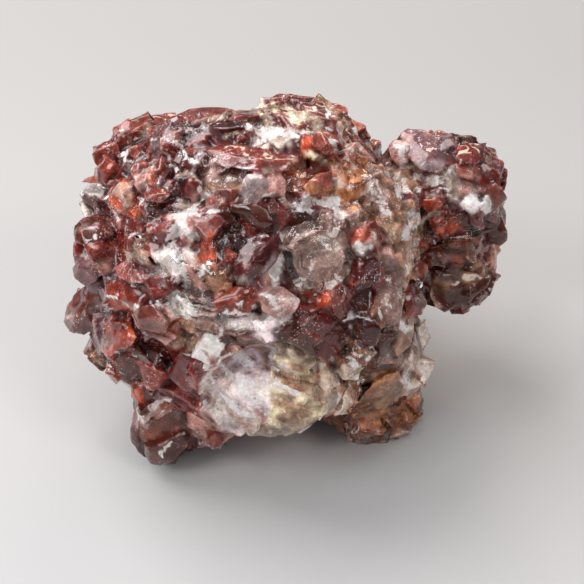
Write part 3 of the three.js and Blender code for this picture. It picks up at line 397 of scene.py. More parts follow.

# Veins, stains, painted glints and painted sheen of the front: kind, half-width in millimetres, and the
# line they follow.
STROKES = [
    # white veins of the middle
    ("frost", 1.3, [-96, 109, -87, 96, -92, 84, -104, 78, -114, 66, -120, 52, -124, 42]),
    ("frost", 0.9, [-114, 56, -104, 70, -90, 79, -70, 82, -54, 78]),
    ("frost", 1.6, [-108, 60, -96, 54, -100, 44]),
    ("rose", 1, [-92, 68, -86, 58]),
    ("frost", 0.7, [-142, 45, -137, 54]),
    ("frost", 0.4, [-165, 55, -142, 64]),
    ("frost", 0.9, [8, 79, 16, 95]),
    ("frost", 1.2, [26, 93, 42, 89, 50, 78]),
    ("cream", 0.9, [52, 87, 60, 70]),
    ("frost", 0.5, [12, -8, 38, 4, 52, 14]),
    ("frost", 1, [5, 12, 8, -1]),
    ("lilac_sheen", 0.5, [-8, 46, -2, 30]),
    ("frost", 0.7, [45, 63, 39, 46]),
    ("frost", 0.3, [0, 64, 4, 46]),
    ("frost", 0.5, [22, 36, 20, 16]),
    ("frost", 0.6, [10, -6, 26, -8]),
    ("lilac_sheen", 0.8, [-30, 17, -15, 37]),
    ("lilac_sheen", 0.9, [-50, 13, -39, 10]),
    # The next three thin frost strokes paint white glints: painted highlights.
    ("frost", 0.4, [-30, 56, -12, 58]),
    ("frost", 0.6, [-56, -12, -46, -9]),
    ("frost", 0.5, [-46, -19, -36, -14]),
    ("frost", 0.4, [-78, -24, -56, -21, -30, -23, -1, -13]),
    ("frost", 0.9, [-30, -39, -12, -31]),
    ("frost", 0.8, [-24, -4, -16, -14]),
    ("frost", 0.8, [-120, -8, -114, -2, -111, -22]),
    ("violet", 0.4, [-116, -8, -116, -22]),
    ("frost", 0.5, [-104, 20, -88, 2]),
    ("frost", 0.3, [-136, -7, -128, -19, -127, -30]),
    ("frost", 0.3, [-142, -10, -134, -21]),
    ("snow", 4.5, [-110, 86, -120, 52, -108, 12, -96, -8]),
    ("snow", 3.5, [-66, -22, -30, -28, -4, -20]),
    ("snow", 3.5, [6, 88, 54, 80]),
    ("snow", 1.2, [-70, -38, -84, -54, -90, -70]),
    ("snow", 2.5, [-52, 164, 8, 158]),
    ("snow", 2, [48, 142, 84, 96, 100, 56]),
    ("snow", 1.8, [100, 124, 118, 82, 120, 30]),
    ("orange_and_glow", 1.6, [-84, 56, -88, 38]),
    ("orange_and_glow", 1.2, [62, 56, 74, 56]),
    ("orange_and_glow", 1.4, [26, 0, 38, -6]),
    ("amber", 2.2, [46, 102, 58, 110]),
    ("umber", 3, [4, -42, 16, -60]),
    ("garnet", 3, [30, -26, 40, -54]),
    ("wine", 1.8, [48, -34, 54, -68]),
    ("frost", 0.7, [60, -58, 70, -70]),
    ("frost", 0.5, [66, -52, 74, -60]),
    ("wine", 2.4, [-66, 58, -50, 40]),
    ("plum", 2.8, [-40, 38, -20, 46]),
    ("lilac_sheen", 0.5, [-20, 34, -12, 46]),
    ("rose", 1.6, [-90, -50, -82, -66]),
    ("umber", 2, [-68, 80, -46, 72]),
    ("umber", 2, [-30, 70, -16, 66]),
    ("amber", 1.8, [14, 108, 30, 96]),
    ("brown", 2.2, [4, 116, 24, 124]),
    ("amber", 1.6, [54, 96, 64, 86]),
    # left druse
    # The thin frost stroke below paints a white glint line and the gold one a golden glint: painted
    # highlights.
    ("frost", 0.35, [-186, -4, -170, -7, -152, -16]),
    ("orange_and_glow", 0.9, [-180, -12, -162, -17]),
    ("gold_glint", 0.4, [-171, -9, -158, -16]),
    ("frost", 0.4, [-210, 97, -188, 96, -185, 102, -194, 108, -206, 107, -211, 102, -210, 97]),
    ("lilac_sheen", 0.35, [-213, 61, -206, 68, -200, 62, -195, 69]),
    ("frost", 0.4, [-217, 45, -209, 46, -202, 53, -192, 54]),
    ("lilac_sheen", 0.4, [-204, -10, -196, -8, -189, -13]),
    ("lilac_sheen", 0.4, [-210, -26, -195, -37]),
    ("umber", 2.4, [-202, -4, -202, -16, -204, -30]),
    # The violet stroke below paints the sheen on the wedge's right facet: a painted sheen.
    ("violet", 1.1, [-193, 4, -192, -14]),
    ("lilac_sheen", 0.3, [-206, 4, -208, -14, -208, -24]),
    ("mauve", 1.4, [-216, -8, -220, -26]),
    ("cream", 0.6, [-226, -26, -220, -24]),
    ("frost", 0.4, [-175, -60, -170, -61]),
    ("lilac_sheen", 0.45, [-162, -58, -145, -69]),
    ("frost", 0.7, [-155, 84, -150, 92]),
    ("frost", 0.4, [-180, 85, -174, 72]),
    ("orange_and_glow", 0.9, [-186, -60, -180, -56]),
    ("orange_and_glow", 0.7, [-162, -34, -158, -46]),
    ("orange_and_glow", 0.8, [-120, -36, -112, -26]),
    ("orange_and_glow", 0.8, [-186, 122, -180, 128]),
    # foot and toe
    ("lilac_sheen", 1.5, [-151, -132, -143, -119, -128, -111]),
    ("frost", 0.5, [-146, -116, -134, -110, -122, -108]),
    ("frost", 0.4, [-154, -116, -151, -132]),
    ("frost", 0.5, [-134, -163, -122, -151, -108, -141]),
    ("frost", 0.4, [-138, -160, -129, -165]),
    ("frost", 0.5, [-96, -122, -88, -110]),
    ("cream", 0.4, [-107, -132, -105, -135]),
    ("frost", 0.7, [-64, -116, -52, -133]),
    # bulge
    ("brick", 0.9, [-78, -72, -70, -61, -56, -57, -40, -59, -29, -66, -26, -76]),
    ("rose", 1.2, [-80, -82, -72, -70, -60, -65]),
    ("brick", 0.7, [-26, -76, -34, -81, -46, -82]),
    ("pearl", 2, [-52, -69, -40, -69, -34, -75]),
    ("frost", 1.5, [-54, -68, -42, -69, -35, -74]),
    ("frost", 0.6, [-70, -66, -60, -62]),
    ("lilac_sheen", 0.6, [-46, -64, -34, -70]),
    ("frost", 1, [-88, -70, -78, -90, -66, -110, -52, -126]),
    ("frost", 1, [-72, -72, -58, -88, -47, -100, -36, -112, -28, -126]),
    ("frost", 0.5, [-47, -100, -36, -90, -26, -84]),
    ("frost", 0.9, [-68, -94, -58, -108, -51, -124]),
    ("frost", 1.5, [-46, -92, -37, -96, -30, -106]),
    ("frost", 0.9, [-76, -86, -68, -102]),
    ("frost", 0.9, [-44, -104, -36, -112]),
    ("rose", 0.7, [-76, -82, -68, -96]),
    ("peach", 1.2, [-62, -120, -52, -132, -42, -138]),
    ("rose", 0.7, [-34, -118, -28, -132]),
    ("umber", 1.8, [-17, -54, 4, -58, 22, -68]),
    ("frost", 0.4, [-22, -60, -19, -74, -14, -92, -17, -106]),
    ("frost", 1.1, [-20, -66, 6, -79]),
    ("frost", 0.5, [-20, -74, -2, -84]),
    ("olive", 0.9, [-16, -82, 22, -100]),
    ("brown", 0.45, [-10, -80, 20, -94]),
    ("frost", 1, [-16, -91, 6, -103]),
    ("frost", 0.35, [6, -103, 20, -110]),
    ("brown", 0.7, [-8, -90, 24, -106]),
    ("olive", 2, [-12, -108, 12, -120]),
    ("olive", 1.3, [-10, -124, 8, -128]),
    ("tan", 0.9, [-2, -72, 18, -81, 26, -92]),
    ("olive", 1, [24, -74, 28, -112]),
    ("cream", 1.4, [35, -78, 42, -96, 36, -112]),
    ("frost", 0.35, [30, -72, 40, -78, 48, -94, 46, -110, 36, -120]),
    ("cream", 0.9, [-38, -138, -16, -142, 8, -139, 26, -128]),
    ("tan", 0.8, [-28, -136, -8, -137]),
    ("frost", 0.5, [-48, -128, -34, -140, -8, -144, 14, -139, 30, -126]),
    ("cream", 1.4, [-46, -132, -22, -139, 4, -136]),
    ("frost", 0.3, [6, -122, 10, -136]),
    # top
    ("cream", 1.6, [-34, 186, -26, 174]),
    ("cream", 1.4, [-4, 180, 4, 172]),
    ("cream", 1.4, [14, 177, 26, 168]),
    ("gold_glint", 1.5, [-34, 188, -25, 172]),
    ("gold_glint", 0.7, [-19, 189, -16, 177]),
    ("gold_glint", 1.2, [-6, 182, 6, 170]),
    ("gold_glint", 1.3, [14, 178, 26, 166]),
    ("frost", 0.9, [24, 182, 38, 185, 36, 174]),
    ("garnet", 0.7, [-12, 184, -8, 168]),
    ("garnet", 0.6, [9, 182, 11, 164]),
    ("gold_glint", 0.5, [-67, 155, -57, 160]),
    ("gold_glint", 0.8, [15, 139, 28, 134, 37, 127]),
    ("cream", 0.9, [44, 109, 54, 108]),
    ("frost", 1.2, [-44, 166, -30, 153]),
    ("frost", 0.9, [-30, 161, 6, 156]),
    ("cream", 0.7, [-96, 170, -70, 175, -44, 185]),
    ("garnet", 0.6, [-22, 186, -20, 168]),
    ("garnet", 0.7, [0, 180, 8, 166]),
    ("frost", 0.5, [-122, 152, -110, 146, -106, 136]),
    ("cream", 0.5, [-146, 122, -142, 110]),
    ("cream", 0.4, [-116, 116, -102, 120, -96, 114]),
    ("umber", 0.4, [20, 163, 32, 168, 39, 176]),
    # upper left
    ("frost", 0.6, [-124, 142, -122, 128, -115, 122]),
    ("cream", 0.6, [-143, 167, -148, 159]),
    ("frost", 0.3, [-142, 152, -124, 154, -110, 145]),
    ("frost", 0.4, [-171, 137, -165, 141, -169, 126]),
    ("frost", 0.3, [-175, 161, -168, 162]),
    ("frost", 0.4, [-132, 117, -134, 108]),
    ("frost", 0.5, [-106, 134, -86, 126]),
    ("frost", 0.4, [-82, 134, -52, 136]),
    ("frost", 0.4, [-56, 124, -34, 124]),
    ("cream", 0.4, [-28, 120, -10, 124, 5, 134]),
    ("frost", 0.4, [-30, 96, -8, 102]),
    ("olive", 1.4, [-86, 104, -52, 106]),
    ("cream", 1.2, [-108, 86, -96, 96]),
    # right
    ("frost", 0.8, [38, 152, 58, 144, 70, 142]),
    ("frost", 0.7, [34, 164, 48, 158]),
    ("frost", 0.5, [54, 134, 70, 122, 82, 108]),
    ("frost", 0.5, [85, 86, 95, 78]),
    ("rose", 0.8, [80, 52, 88, 46]),
    ("rose", 0.8, [94, 46, 104, 37]),
    ("lilac_sheen", 0.5, [60, 42, 75, 48]),
    ("frost", 0.35, [112, 81, 119, 65]),
    ("frost", 0.35, [112, 31, 117, 19]),
    ("cream", 0.5, [136, 2, 142, -11, 149, -23]),
    ("cream", 0.5, [132, -18, 140, -38, 136, -66]),
    ("frost", 0.8, [128, -74, 139, -87]),
    ("frost", 0.8, [112, -88, 128, -105]),
    ("garnet", 0.7, [122, -82, 136, -96]),
    ("cream", 0.4, [112, -110, 100, -119, 90, -127, 76, -126, 65, -119]),
    ("frost", 0.5, [99, -142, 124, -139, 132, -127]),
    ("frost", 0.5, [104, -152, 121, -147]),
    ("peach", 2.6, [42, -148, 74, -146, 104, -140]),
    ("cream", 0.8, [52, -138, 84, -132]),
    ("cream", 0.8, [92, -156, 120, -154, 132, -136]),
    ("tan", 1.8, [68, -120, 92, -116, 118, -104]),
    ("brown", 1.4, [64, -104, 80, -94]),
    ("amber", 1.4, [78, -92, 104, -78]),
    ("amber", 1.8, [78, -134, 112, -122, 126, -108]),
    ("tan", 1.6, [80, -154, 112, -148, 128, -136]),
    ("brown", 1, [100, -128, 120, -132]),
    ("tan", 1.6, [60, -100, 74, -86]),
    ("peach", 1.2, [138, -8, 144, -38, 138, -68]),
    ("orange_and_glow", 1, [110, -108, 120, -120]),
    ("frost", 0.8, [59, -59, 72, -54, 76, -67]),
    ("frost", 0.35, [89, -27, 86, -11]),
    ("frost", 0.35, [63, -24, 81, -28]),
    ("frost", 0.4, [91, -10, 99, -15]),
    ("frost", 0.3, [94, 92, 98, 78]),
    ("frost", 0.3, [86, 112, 90, 100]),
    ("cream", 1, [100, 124, 113, 110]),
    ("frost", 0.6, [91, 140, 96, 134]),
    # knob
    ("snow", 2.6, [178, 102, 194, 86, 200, 78]),
    ("snow", 1.5, [108, 152, 112, 128]),
    ("tan", 1.2, [178, 42, 186, 24]),
    ("orange_and_glow", 1.3, [148, 60, 160, 64]),
    ("orange_and_glow", 1.4, [132, 92, 148, 86]),
    ("brown", 2.4, [154, 42, 178, 44]),
    ("olive", 2.2, [148, 8, 174, 16, 194, 22]),
    ("frost", 0.35, [152, 54, 170, 55, 182, 59]),
    ("rose", 1, [187, 60, 189, 30]),
    ("frost", 0.6, [176, 54, 188, 62]),
    ("cream", 0.5, [131, 70, 138, 78, 149, 80]),
    ("lilac_sheen", 0.4, [137, 66, 145, 53]),
    ("frost", 0.4, [136, 107, 154, 103, 164, 93]),
    ("frost", 0.6, [126, 102, 134, 101]),
    ("rose", 0.6, [169, 116, 189, 114]),
    ("rose", 0.6, [176, 109, 191, 102]),
    ("frost", 0.5, [128, 154, 130, 145]),
    ("frost", 0.4, [136, 149, 137, 146]),
    ("lilac_sheen", 1.3, [128, 126, 148, 129]),
    ("rose", 0.9, [108, 162, 117, 153]),
    ("lilac_sheen", 0.8, [144, 30, 156, 29]),
]
QUARTER = 0.25           # the gems' and strokes' places are in quarter millimetres
GEMS = [
    (name, [(u * QUARTER, v * QUARTER) for u, v in zip(outline[::2], outline[1::2])],
     [(u * QUARTER, v * QUARTER, lift) for u, v, lift in zip(ridge[::3], ridge[1::3], ridge[2::3])])
    for name, outline, ridge in GEMS
]
STROKES = [
    (name, width, QUARTER * np.array(line, float).reshape(-1, 2)) for name, width, line in STROKES
]

# ---- Where the crystals stand -----------------------------------------------------------------

# Detail by place on the display view: middle, half-size, spacing of the crystals set there, and
# how far they stand out as a share of their size.
DETAIL = [
    {"at": (-6, -26), "half": (18.5, 14), "spacing": 40.0, "proud": 0.0},   # the pale bulge
    {"at": (6, 9), "half": (10, 10), "spacing": 4.4, "proud": 0.06},        # the clear block
    {"at": (-46, -3), "half": (9, 14), "spacing": 4.0, "proud": 0.08},      # the big left crystals
    {"at": (-46, 12), "half": (6, 8), "spacing": 3.8, "proud": 0.08},
    {"at": (-34, -18), "half": (9, 10), "spacing": 3.6, "proud": 0.10},
    {"at": (-34, -34), "half": (8, 9), "spacing": 40.0, "proud": 0.0},      # the foot
    {"at": (42, 12), "half": (9, 8), "spacing": 4.2, "proud": 0.06},        # the brown block
    {"at": (26, -10), "half": (9, 26), "spacing": 3.2, "proud": 0.08},      # the smooth right side
    {"at": (16, -32), "half": (22, 5), "spacing": 3.4, "proud": 0.08},      # the amber ledge
    {"at": (0, 46), "half": (20, 3.5), "spacing": 5.0, "proud": 0.05},      # the top plates
    {"at": (-21, 43), "half": (12, 3.0), "spacing": 5.0, "proud": 0.05},
    {"at": (35, 33), "half": (8, 7), "spacing": 2.4, "proud": 0.10},        # the knob's top
]
FRONT_SPACING, REAR_SPACING = 2.3, 2.9
FRONT_PROUD, REAR_PROUD = 0.13, 0.16
CROWDED_SPACING = 9.0    # places with a wider spacing than this stay bare
FRONT_FACING = -0.2      # the least cosine to the eye of what counts as the front
CANDIDATES = 60000
FLOOR_MARGIN = 1.2       # no crystals stand on faces below this that look down
DOWNWARD = -0.3

share = cad_area / cad_area.sum()
picked = random.choice(len(cad_faces), CANDIDATES, p=share)
mix = random.random((CANDIDATES, 2))
flip = mix.sum(axis=1) > 1
mix[flip] = 1 - mix[flip]
corner = cad_corners[picked]
spots = (corner[:, 0] + mix[:, :1] * (corner[:, 1] - corner[:, 0])
         + mix[:, 1:] * (corner[:, 2] - corner[:, 0]))
above = (spots[:, 2] > FLOOR_MARGIN) | (cad_normal[picked][:, 2] > DOWNWARD)
spots, picked = spots[above], picked[above]
towards_eye = (unit(EYE - spots) * cad_normal[picked]).sum(axis=1)
places = display_place(spots)
at_front = towards_eye > FRONT_FACING
spacing = np.where(at_front, FRONT_SPACING, REAR_SPACING)
proud = np.where(at_front, FRONT_PROUD, REAR_PROUD)
for row in DETAIL:
    inside = ((np.abs((places - row["at"]) / row["half"]) ** 2).sum(axis=1) < 1) & at_front
    spacing[inside] = row["spacing"]
    proud[inside] = row["proud"]


def thinned(points, distance):
    """Indices of points no two of which are closer than their distance."""
    cell = float(min(distance.max(), CROWDED_SPACING))
    around = list(itertools.product((-1, 0, 1), repeat=3))
    grid = {}
    kept = []
    for index, (point, reach) in enumerate(zip(points.tolist(), distance.tolist())):
        x, y, z = (int(math.floor(value / cell)) for value in point)
        near = itertools.chain.from_iterable(
            grid.get((x + dx, y + dy, z + dz), ()) for dx, dy, dz in around)
        if not any(math.dist(point, points[other]) < min(reach, distance[other]) for other in near):
            grid.setdefault((x, y, z), []).append(index)
            kept.append(index)
    return np.array(kept)


held = np.zeros(len(spots), bool)
for name, outline, ridge in GEMS:
    held |= inside_outline(places, outline) & at_front
bare = (spacing > CROWDED_SPACING) | held
spots, picked, spacing, proud = spots[~bare], picked[~bare], spacing[~bare], proud[~bare]
kept = thinned(spots, spacing)
spots, spacing, proud = spots[kept], spacing[kept], proud[kept]

# ---- The crystals' shapes ---------------------------------------------------------------------

# A rhomb's three edges lean from its three-fold axis by this angle: pointed or blunt crystals.
LEANS = [math.radians(47), math.radians(54), math.radians(61)]
DOMAIN_SPACING = 8.0     # neighbouring crystals within this distance share their directions,
OWN_DIRECTION = 0.25     # but for this share of them
MOST_TILT = math.radians(32)
BLOCK_SIZE = (1.2, 2.3)  # a crystal's size, as a share of its spacing
EDGE_STRETCH = (0.6, 1.45)
CORNER_WANDER = 0.09
PROUD_RANGE = (0.5, 1.7)
CORNERS = np.array([[i & 1, (i >> 1) & 1, (i >> 2) & 1] for i in range(8)], float)
SIDES = [[0, 2, 3, 1], [4, 5, 7, 6], [0, 1, 5, 4], [2, 6, 7, 3], [0, 4, 6, 2], [1, 3, 7, 5]]


def rhomb_edges(lean):
    turns = np.arange(3) * 2 * math.pi / 3
    return np.stack([math.sin(lean) * np.cos(turns), math.sin(lean) * np.sin(turns),
                     np.full(3, math.cos(lean))], axis=1)


def turned_rhomb(lean, outward, tilt):
    """A rhomb's edges, turned so that one face looks outward, but for a tilt about a random axis."""
    edges = rhomb_edges(lean)
    face = unit(np.cross(edges[0], edges[1]))
    face = face if face @ edges[2] < 0 else -face
    target = unit(outward + math.tan(tilt) * unit(np.cross(outward, random.normal(0, 1, 3))))
    spin = Quaternion(Vector(target), random.uniform(0, 2 * math.pi))
    turn = spin @ Vector(face).rotation_difference(Vector(target))
    return edges @ np.array(turn.to_matrix()).T


def depth_of(point):
    return float((np.array(point) - VIEW_CENTRE) @ TOWARDS)


def hull(corners):
    """The convex hull of some points, as its own points and faces."""
    shell = bmesh.new()
    for corner in corners:
        shell.verts.new(corner)
    made = bmesh.ops.convex_hull(shell, input=shell.verts)
    left_over = made["geom_interior"] + made["geom_unused"]
    loose = {item for item in left_over if isinstance(item, bmesh.types.BMVert)}
    bmesh.ops.delete(shell, geom=list(loose), context="VERTS")
    shell.verts.index_update()
    corners = np.array([vertex.co[:] for vertex in shell.verts])
    sides = [[vertex.index for vertex in face.verts] for face in shell.faces]
    shell.free()
    return corners, sides


# ---- The traced gems: convex blocks on their sightlines ---------------------------------------

GEM_SAMPLES = 5          # the surface is sampled this often from each corner to the middle
GEM_LEVEL = 60           # a gem's foot lies above this percentage of the surface under it
GEM_FOOT = 0.35          # how far its outline stands over that foot
GEM_ROOT = 3.0           # how far its narrower root reaches below the foot
ROOT_WIDTH = 0.75
STEEPEST = 1.3           # how fast a gem may run away from the eye
SUNK = 0.6               # how far the solid's own facets are drawn down under a gem
STRAY = 9.0              # surface farther than this from the gem's middle depth isn't its ground


def gem_plane(outline):
    """The plane on which a gem stands: its depth is plane @ (u, v, 1)."""
    middle = np.mean(outline, axis=0)
    hits = []
    for corner in outline:
        for step in range(GEM_SAMPLES):
            u, v = middle + (np.array(corner) - middle) * step / (GEM_SAMPLES - 1)
            sight = unit(VIEW_CENTRE + u * RIGHT + v * UP - EYE)
            hit = cad_tree.ray_cast(Vector(EYE), Vector(sight))[0]
            if hit is not None:
                hits.append((u, v, depth_of(hit)))
    hits = np.array(hits)
    hits = hits[np.abs(hits[:, 2] - np.median(hits[:, 2])) < STRAY]
    level = np.column_stack([hits[:, :2], np.ones(len(hits))])
    plane = np.linalg.lstsq(level, hits[:, 2], rcond=None)[0]
    plane[:2] *= min(1.0, STEEPEST / np.hypot(plane[0], plane[1]))
    plane[2] += np.percentile(hits[:, 2] - level @ plane, GEM_LEVEL)
    return plane


grown_base = cad_points.copy()
base_at = display_place(cad_points)
base_depth = (cad_points - VIEW_CENTRE) @ TOWARDS
gem_spots = []
gem_hulls = []
for name, outline, ridge in GEMS:
    middle = np.mean(outline, axis=0)
    plane = gem_plane(outline)

    def gem_point(u, v, lift):
        return on_sightline(u, v, plane @ (u, v, 1) + lift)

    corners = [gem_point(u, v, GEM_FOOT) for u, v in outline]
    corners += [gem_point(u, v, lift) for u, v, lift in ridge]
    corners += [gem_point(*(middle + ROOT_WIDTH * (np.array(corner) - middle)), -GEM_ROOT)
                for corner in outline]
    gem_hulls.append(hull(corners))
    gem_spots.append(gem_point(*middle, 0.0))
    foot = base_at @ plane[:2] + plane[2] - SUNK
    under = inside_outline(base_at, outline) & (base_depth > foot) & (base_depth < foot + STRAY)
    for index in np.flatnonzero(under):
        grown_base[index] = on_sightline(*base_at[index], foot[index])
grown_base[:, 2] = np.maximum(grown_base[:, 2], cad_points[:, 2].min())

# ---- The small crystals: jittered rhombs in domains of one direction --------------------------

spots = np.concatenate([np.array(gem_spots), spots])
spacing = np.concatenate([np.zeros(len(GEMS)), spacing])
proud = np.concatenate([np.zeros(len(GEMS)), proud])
spot_normal = form_normal(spots)
domain_index = thinned(spots, np.full(len(spots), DOMAIN_SPACING))
domain_tree = KDTree(len(domain_index))
for number, index in enumerate(domain_index):
    domain_tree.insert(Vector(spots[index]), number)
domain_tree.balance()
domain_edges = [
    turned_rhomb(LEANS[random.integers(3)], spot_normal[index], random.uniform(0, MOST_TILT))
    for index in domain_index
]
spot_domain = np.array([domain_tree.find(Vector(spot))[1] for spot in spots])


def small_crystal(number):
    """The eight corners of the small crystal on one spot."""
    size = spacing[number] * random.uniform(*BLOCK_SIZE)
    normal = spot_normal[number]
    if random.random() < OWN_DIRECTION:
        edges = turned_rhomb(LEANS[random.integers(3)], normal, random.uniform(0, 2 * MOST_TILT))
    else:
        edges = domain_edges[spot_domain[number]]
    edges = edges * (size * random.uniform(*EDGE_STRETCH, (3, 1)))
    block = (CORNERS - 0.5) @ edges + random.normal(0, CORNER_WANDER * size, (8, 3))
    height = proud[number] * size * random.uniform(*PROUD_RANGE)
    return block + (spots[number] + normal * (height - (block @ normal).max()))


crystals = gem_hulls + [(small_crystal(number), SIDES) for number in range(len(GEMS), len(spots))]
points = [grown_base]
faces = [face.tolist() for face in cad_faces]
face_crystal = [-1] * len(faces)
total = len(cad_points)
for number, (block, block_faces) in enumerate(crystals):
    points.append(block)
    faces.extend([[total + i for i in face] for face in block_faces])
    face_crystal.extend([number] * len(block_faces))
    total += len(block)
points = np.concatenate(points)
face_crystal = np.array(face_crystal)
grown_tree = BVHTree.FromPolygons([Vector(p) for p in points], faces)

# ---- The fused surface ------------------------------------------------------------------------

VOXEL = 0.38
ROUNDING = 2
MOST_TRIANGLES = 194000  # in each half of the specimen


def mesh_from(name, vertices, polygons):
    mesh = bpy.data.meshes.new(name)
    mesh.from_pydata((vertices * MM).tolist(), [], polygons)
    mesh.update()
    return mesh


def object_from(name, mesh):
    made = bpy.data.objects.new(name, mesh)
    bpy.context.scene.collection.objects.link(made)
    return made


def applied(mesh, kind, **settings):
    """The mesh with one modifier applied."""
    holder = object_from("holder", mesh)
    modifier = holder.modifiers.new("change", kind)
    for name, value in settings.items():
        setattr(modifier, name, value)
    graph = bpy.context.evaluated_depsgraph_get()
    result = bpy.data.meshes.new_from_object(holder.evaluated_get(graph))
    bpy.data.objects.remove(holder)
    return result


def values_of(items, name, width, kind=np.float32):
    """One property of every vertex, edge or triangle of a mesh, a row for each."""
    values = np.empty(len(items) * width, kind)
    items.foreach_get(name, values)
    return values.reshape(-1, width)


def vertices_of(mesh):
    return values_of(mesh.vertices, "co", 3).astype(float) / MM


def normals_of(mesh):
    return values_of(mesh.vertex_normals, "vector", 3).astype(float)


def relaxed(values, edges, rounds):
    """Values that go halfway to the mean of their neighbours' along the mesh's edges, each round."""
    count = np.bincount(edges.ravel(), minlength=len(values)).clip(1)[:, None]
    for _ in range(rounds):
        total = np.stack([
            np.bincount(edges[:, 0], values[edges[:, 1], axis], len(values))
            + np.bincount(edges[:, 1], values[edges[:, 0], axis], len(values))
            for axis in range(values.shape[1])
        ], axis=1)
        values = values + 0.5 * (total / count - values)
    return values


# Large odd factors and shifts that scatter a lattice cell's three numbers and its seed.
AXIS_FACTORS = (73856093, 19349663, 83492791)
SEED_FACTOR = 2654435761
SCATTER = ((15, 2246822519), (13, 3266489917))
LAST_SHIFT = 16
WORD, PART = 0xFFFFFFFF, 0xFFFFFF


def lattice(cells, seed):
    """A repeatable number from 0 to 1 for each cell of a lattice."""
    cells = cells.astype(np.int64)
    mixed = seed * SEED_FACTOR
    for axis, factor in enumerate(AXIS_FACTORS):
        mixed = mixed ^ (cells[:, axis] * factor)
    for shift, factor in SCATTER:
        mixed = ((mixed ^ (mixed >> shift)) * factor) & WORD
    return ((mixed ^ (mixed >> LAST_SHIFT)) & PART) / PART


def noise(places, size, seed):
    """Smooth noise from -1 to 1 whose features are about size across; each seed has its own."""
    scaled = places / size
    base = np.floor(scaled)
    part = scaled - base
    part = part * part * (3 - 2 * part)
    result = np.zeros(len(places))
    for corner in CORNERS:
        weight = np.prod(np.where(corner > 0, part, 1 - part), axis=1)
        result += weight * lattice(base + corner, seed)
    return 2 * result - 1


def noises(places, size, seed, count=3):
    """Several noises of one size, as columns."""
    return np.stack([noise(places, size, seed + number) for number in range(count)], axis=1)


fused = applied(mesh_from("grown", points, faces), "REMESH", mode="VOXEL", voxel_size=VOXEL * MM)
place = vertices_of(fused)
links = values_of(fused.edges, "vertices", 2, np.int32)
place = relaxed(place, links, ROUNDING)

# ---- The kind at each place -------------------------------------------------------------------

EDGE_WANDER = 0.16       # how far a feature's edge wanders, as a share of its size,
WANDER_SIZE = 3.0        # in waves of this size
SQUARENESS = 2.6         # the power of a feature's outline: 2 is an ellipse
BROAD_SIZE = 16.0        # the size of the patches away from the display view
BROAD_LEAST, BROAD_STEP = -0.6, 0.4
SAME_AS_DOMAIN = 0.6     # the share of crystals that are of the same kind as their neighbours


def mixture_pick(mixture, chance):
    names = list(mixture)
    edges = np.cumsum([mixture[name] for name in names])
    return names[int(np.searchsorted(edges, chance * edges[-1]))]


def kind_at(u, v, wander, chance):
    """The kind at a place of the display view: from the features, or else from the regions."""
    for kind, middle_u, middle_v, half_u, half_v in FEATURES:
        across = (u - middle_u) / half_u + EDGE_WANDER * wander[0]
        along = (v - middle_v) / half_v + EDGE_WANDER * wander[1]
        if abs(across) ** SQUARENESS + abs(along) ** SQUARENESS < 1:
            return kind
    for region in REGIONS:
        across = (u - region["at"][0]) / region["half"][0]
        along = (v - region["at"][1]) / region["half"][1]
        if across ** 2 + along ** 2 < 1:
            return mixture_pick(region["mix"], chance)
    return None


def kinds_at(positions, seen, chances):
    """The kind of calcite at each position, as an index of KIND_NAMES."""
    wander = noises(positions, WANDER_SIZE, 11, 2)
    broad = (noise(positions, BROAD_SIZE, 13) - BROAD_LEAST) / BROAD_STEP
    result = []
    for index, (u, v) in enumerate(display_place(positions)):
        found = kind_at(u, v, wander[index], chances[index]) if seen[index] else None
        if found is None:
            found = mixture_pick(ELSEWHERE[int(np.clip(broad[index], 0, 2))], chances[index])
        result.append(KIND_NAMES.index(found))
    return np.array(result)


# Each flat facet of the CAD solid and each added crystal has one kind.  Triangles are of one facet
# when their normals, times NORMAL_STEPS, and offsets, times OFFSET_STEPS, round to the same.
NORMAL_STEPS, OFFSET_STEPS = 40, 4
cad_offset = (cad_normal * cad_middle).sum(axis=1)[:, None]
facet_key = np.round(np.concatenate([cad_normal * NORMAL_STEPS, cad_offset * OFFSET_STEPS], axis=1))
cad_facet = np.unique(facet_key, axis=0, return_inverse=True)[1]
facet_count = cad_facet.max() + 1


def facet_sums(rows):
    """The sums over each facet of its triangles' rows, weighted by their areas."""
    sums = [np.bincount(cad_facet, cad_area * column, facet_count) for column in rows.T]
    return np.stack(sums, axis=1)


facet_place = facet_sums(cad_middle) / np.bincount(cad_facet, cad_area, facet_count)[:, None]
facet_normal = unit(facet_sums(cad_normal))
facet_domain = np.array([domain_tree.find(Vector(p))[1] for p in facet_place])

source_place = np.concatenate([facet_place, spots])
source_normal = np.concatenate([facet_normal, spot_normal])
source_domain = np.concatenate([facet_domain, spot_domain])
source_seen = seen_from_display(source_place, source_normal)
domain_chance = random.random(len(domain_index))
source_chance = random.random(len(source_place))
follows = random.random(len(source_place)) < SAME_AS_DOMAIN
source_chance[follows] = domain_chance[source_domain[follows]]
source_kind = kinds_at(source_place, source_seen, source_chance)
source_kind[facet_count:facet_count + len(GEMS)] = [KIND_NAMES.index(gem[0]) for gem in GEMS]
source_tone = random.normal(0, 1, (len(source_place), 3))

# ---- What each point of the fused surface belongs to ------------------------------------------

# How the crystals' edges are bent and their faces dented: the size of the waves, how far they
# reach, and a seed.
BENDS = [(4.2, 0.42, 101), (1.7, 0.16, 104)]
DENTS = [(2.6, 0.12, 21), (1.1, 0.05, 22)]
SMOOTH_ROUNDS, BROAD_ROUNDS = 5, 36


def set_places(mesh, positions):
    mesh.vertices.foreach_set("co", (positions * MM).astype(np.float32).ravel())
    mesh.update()


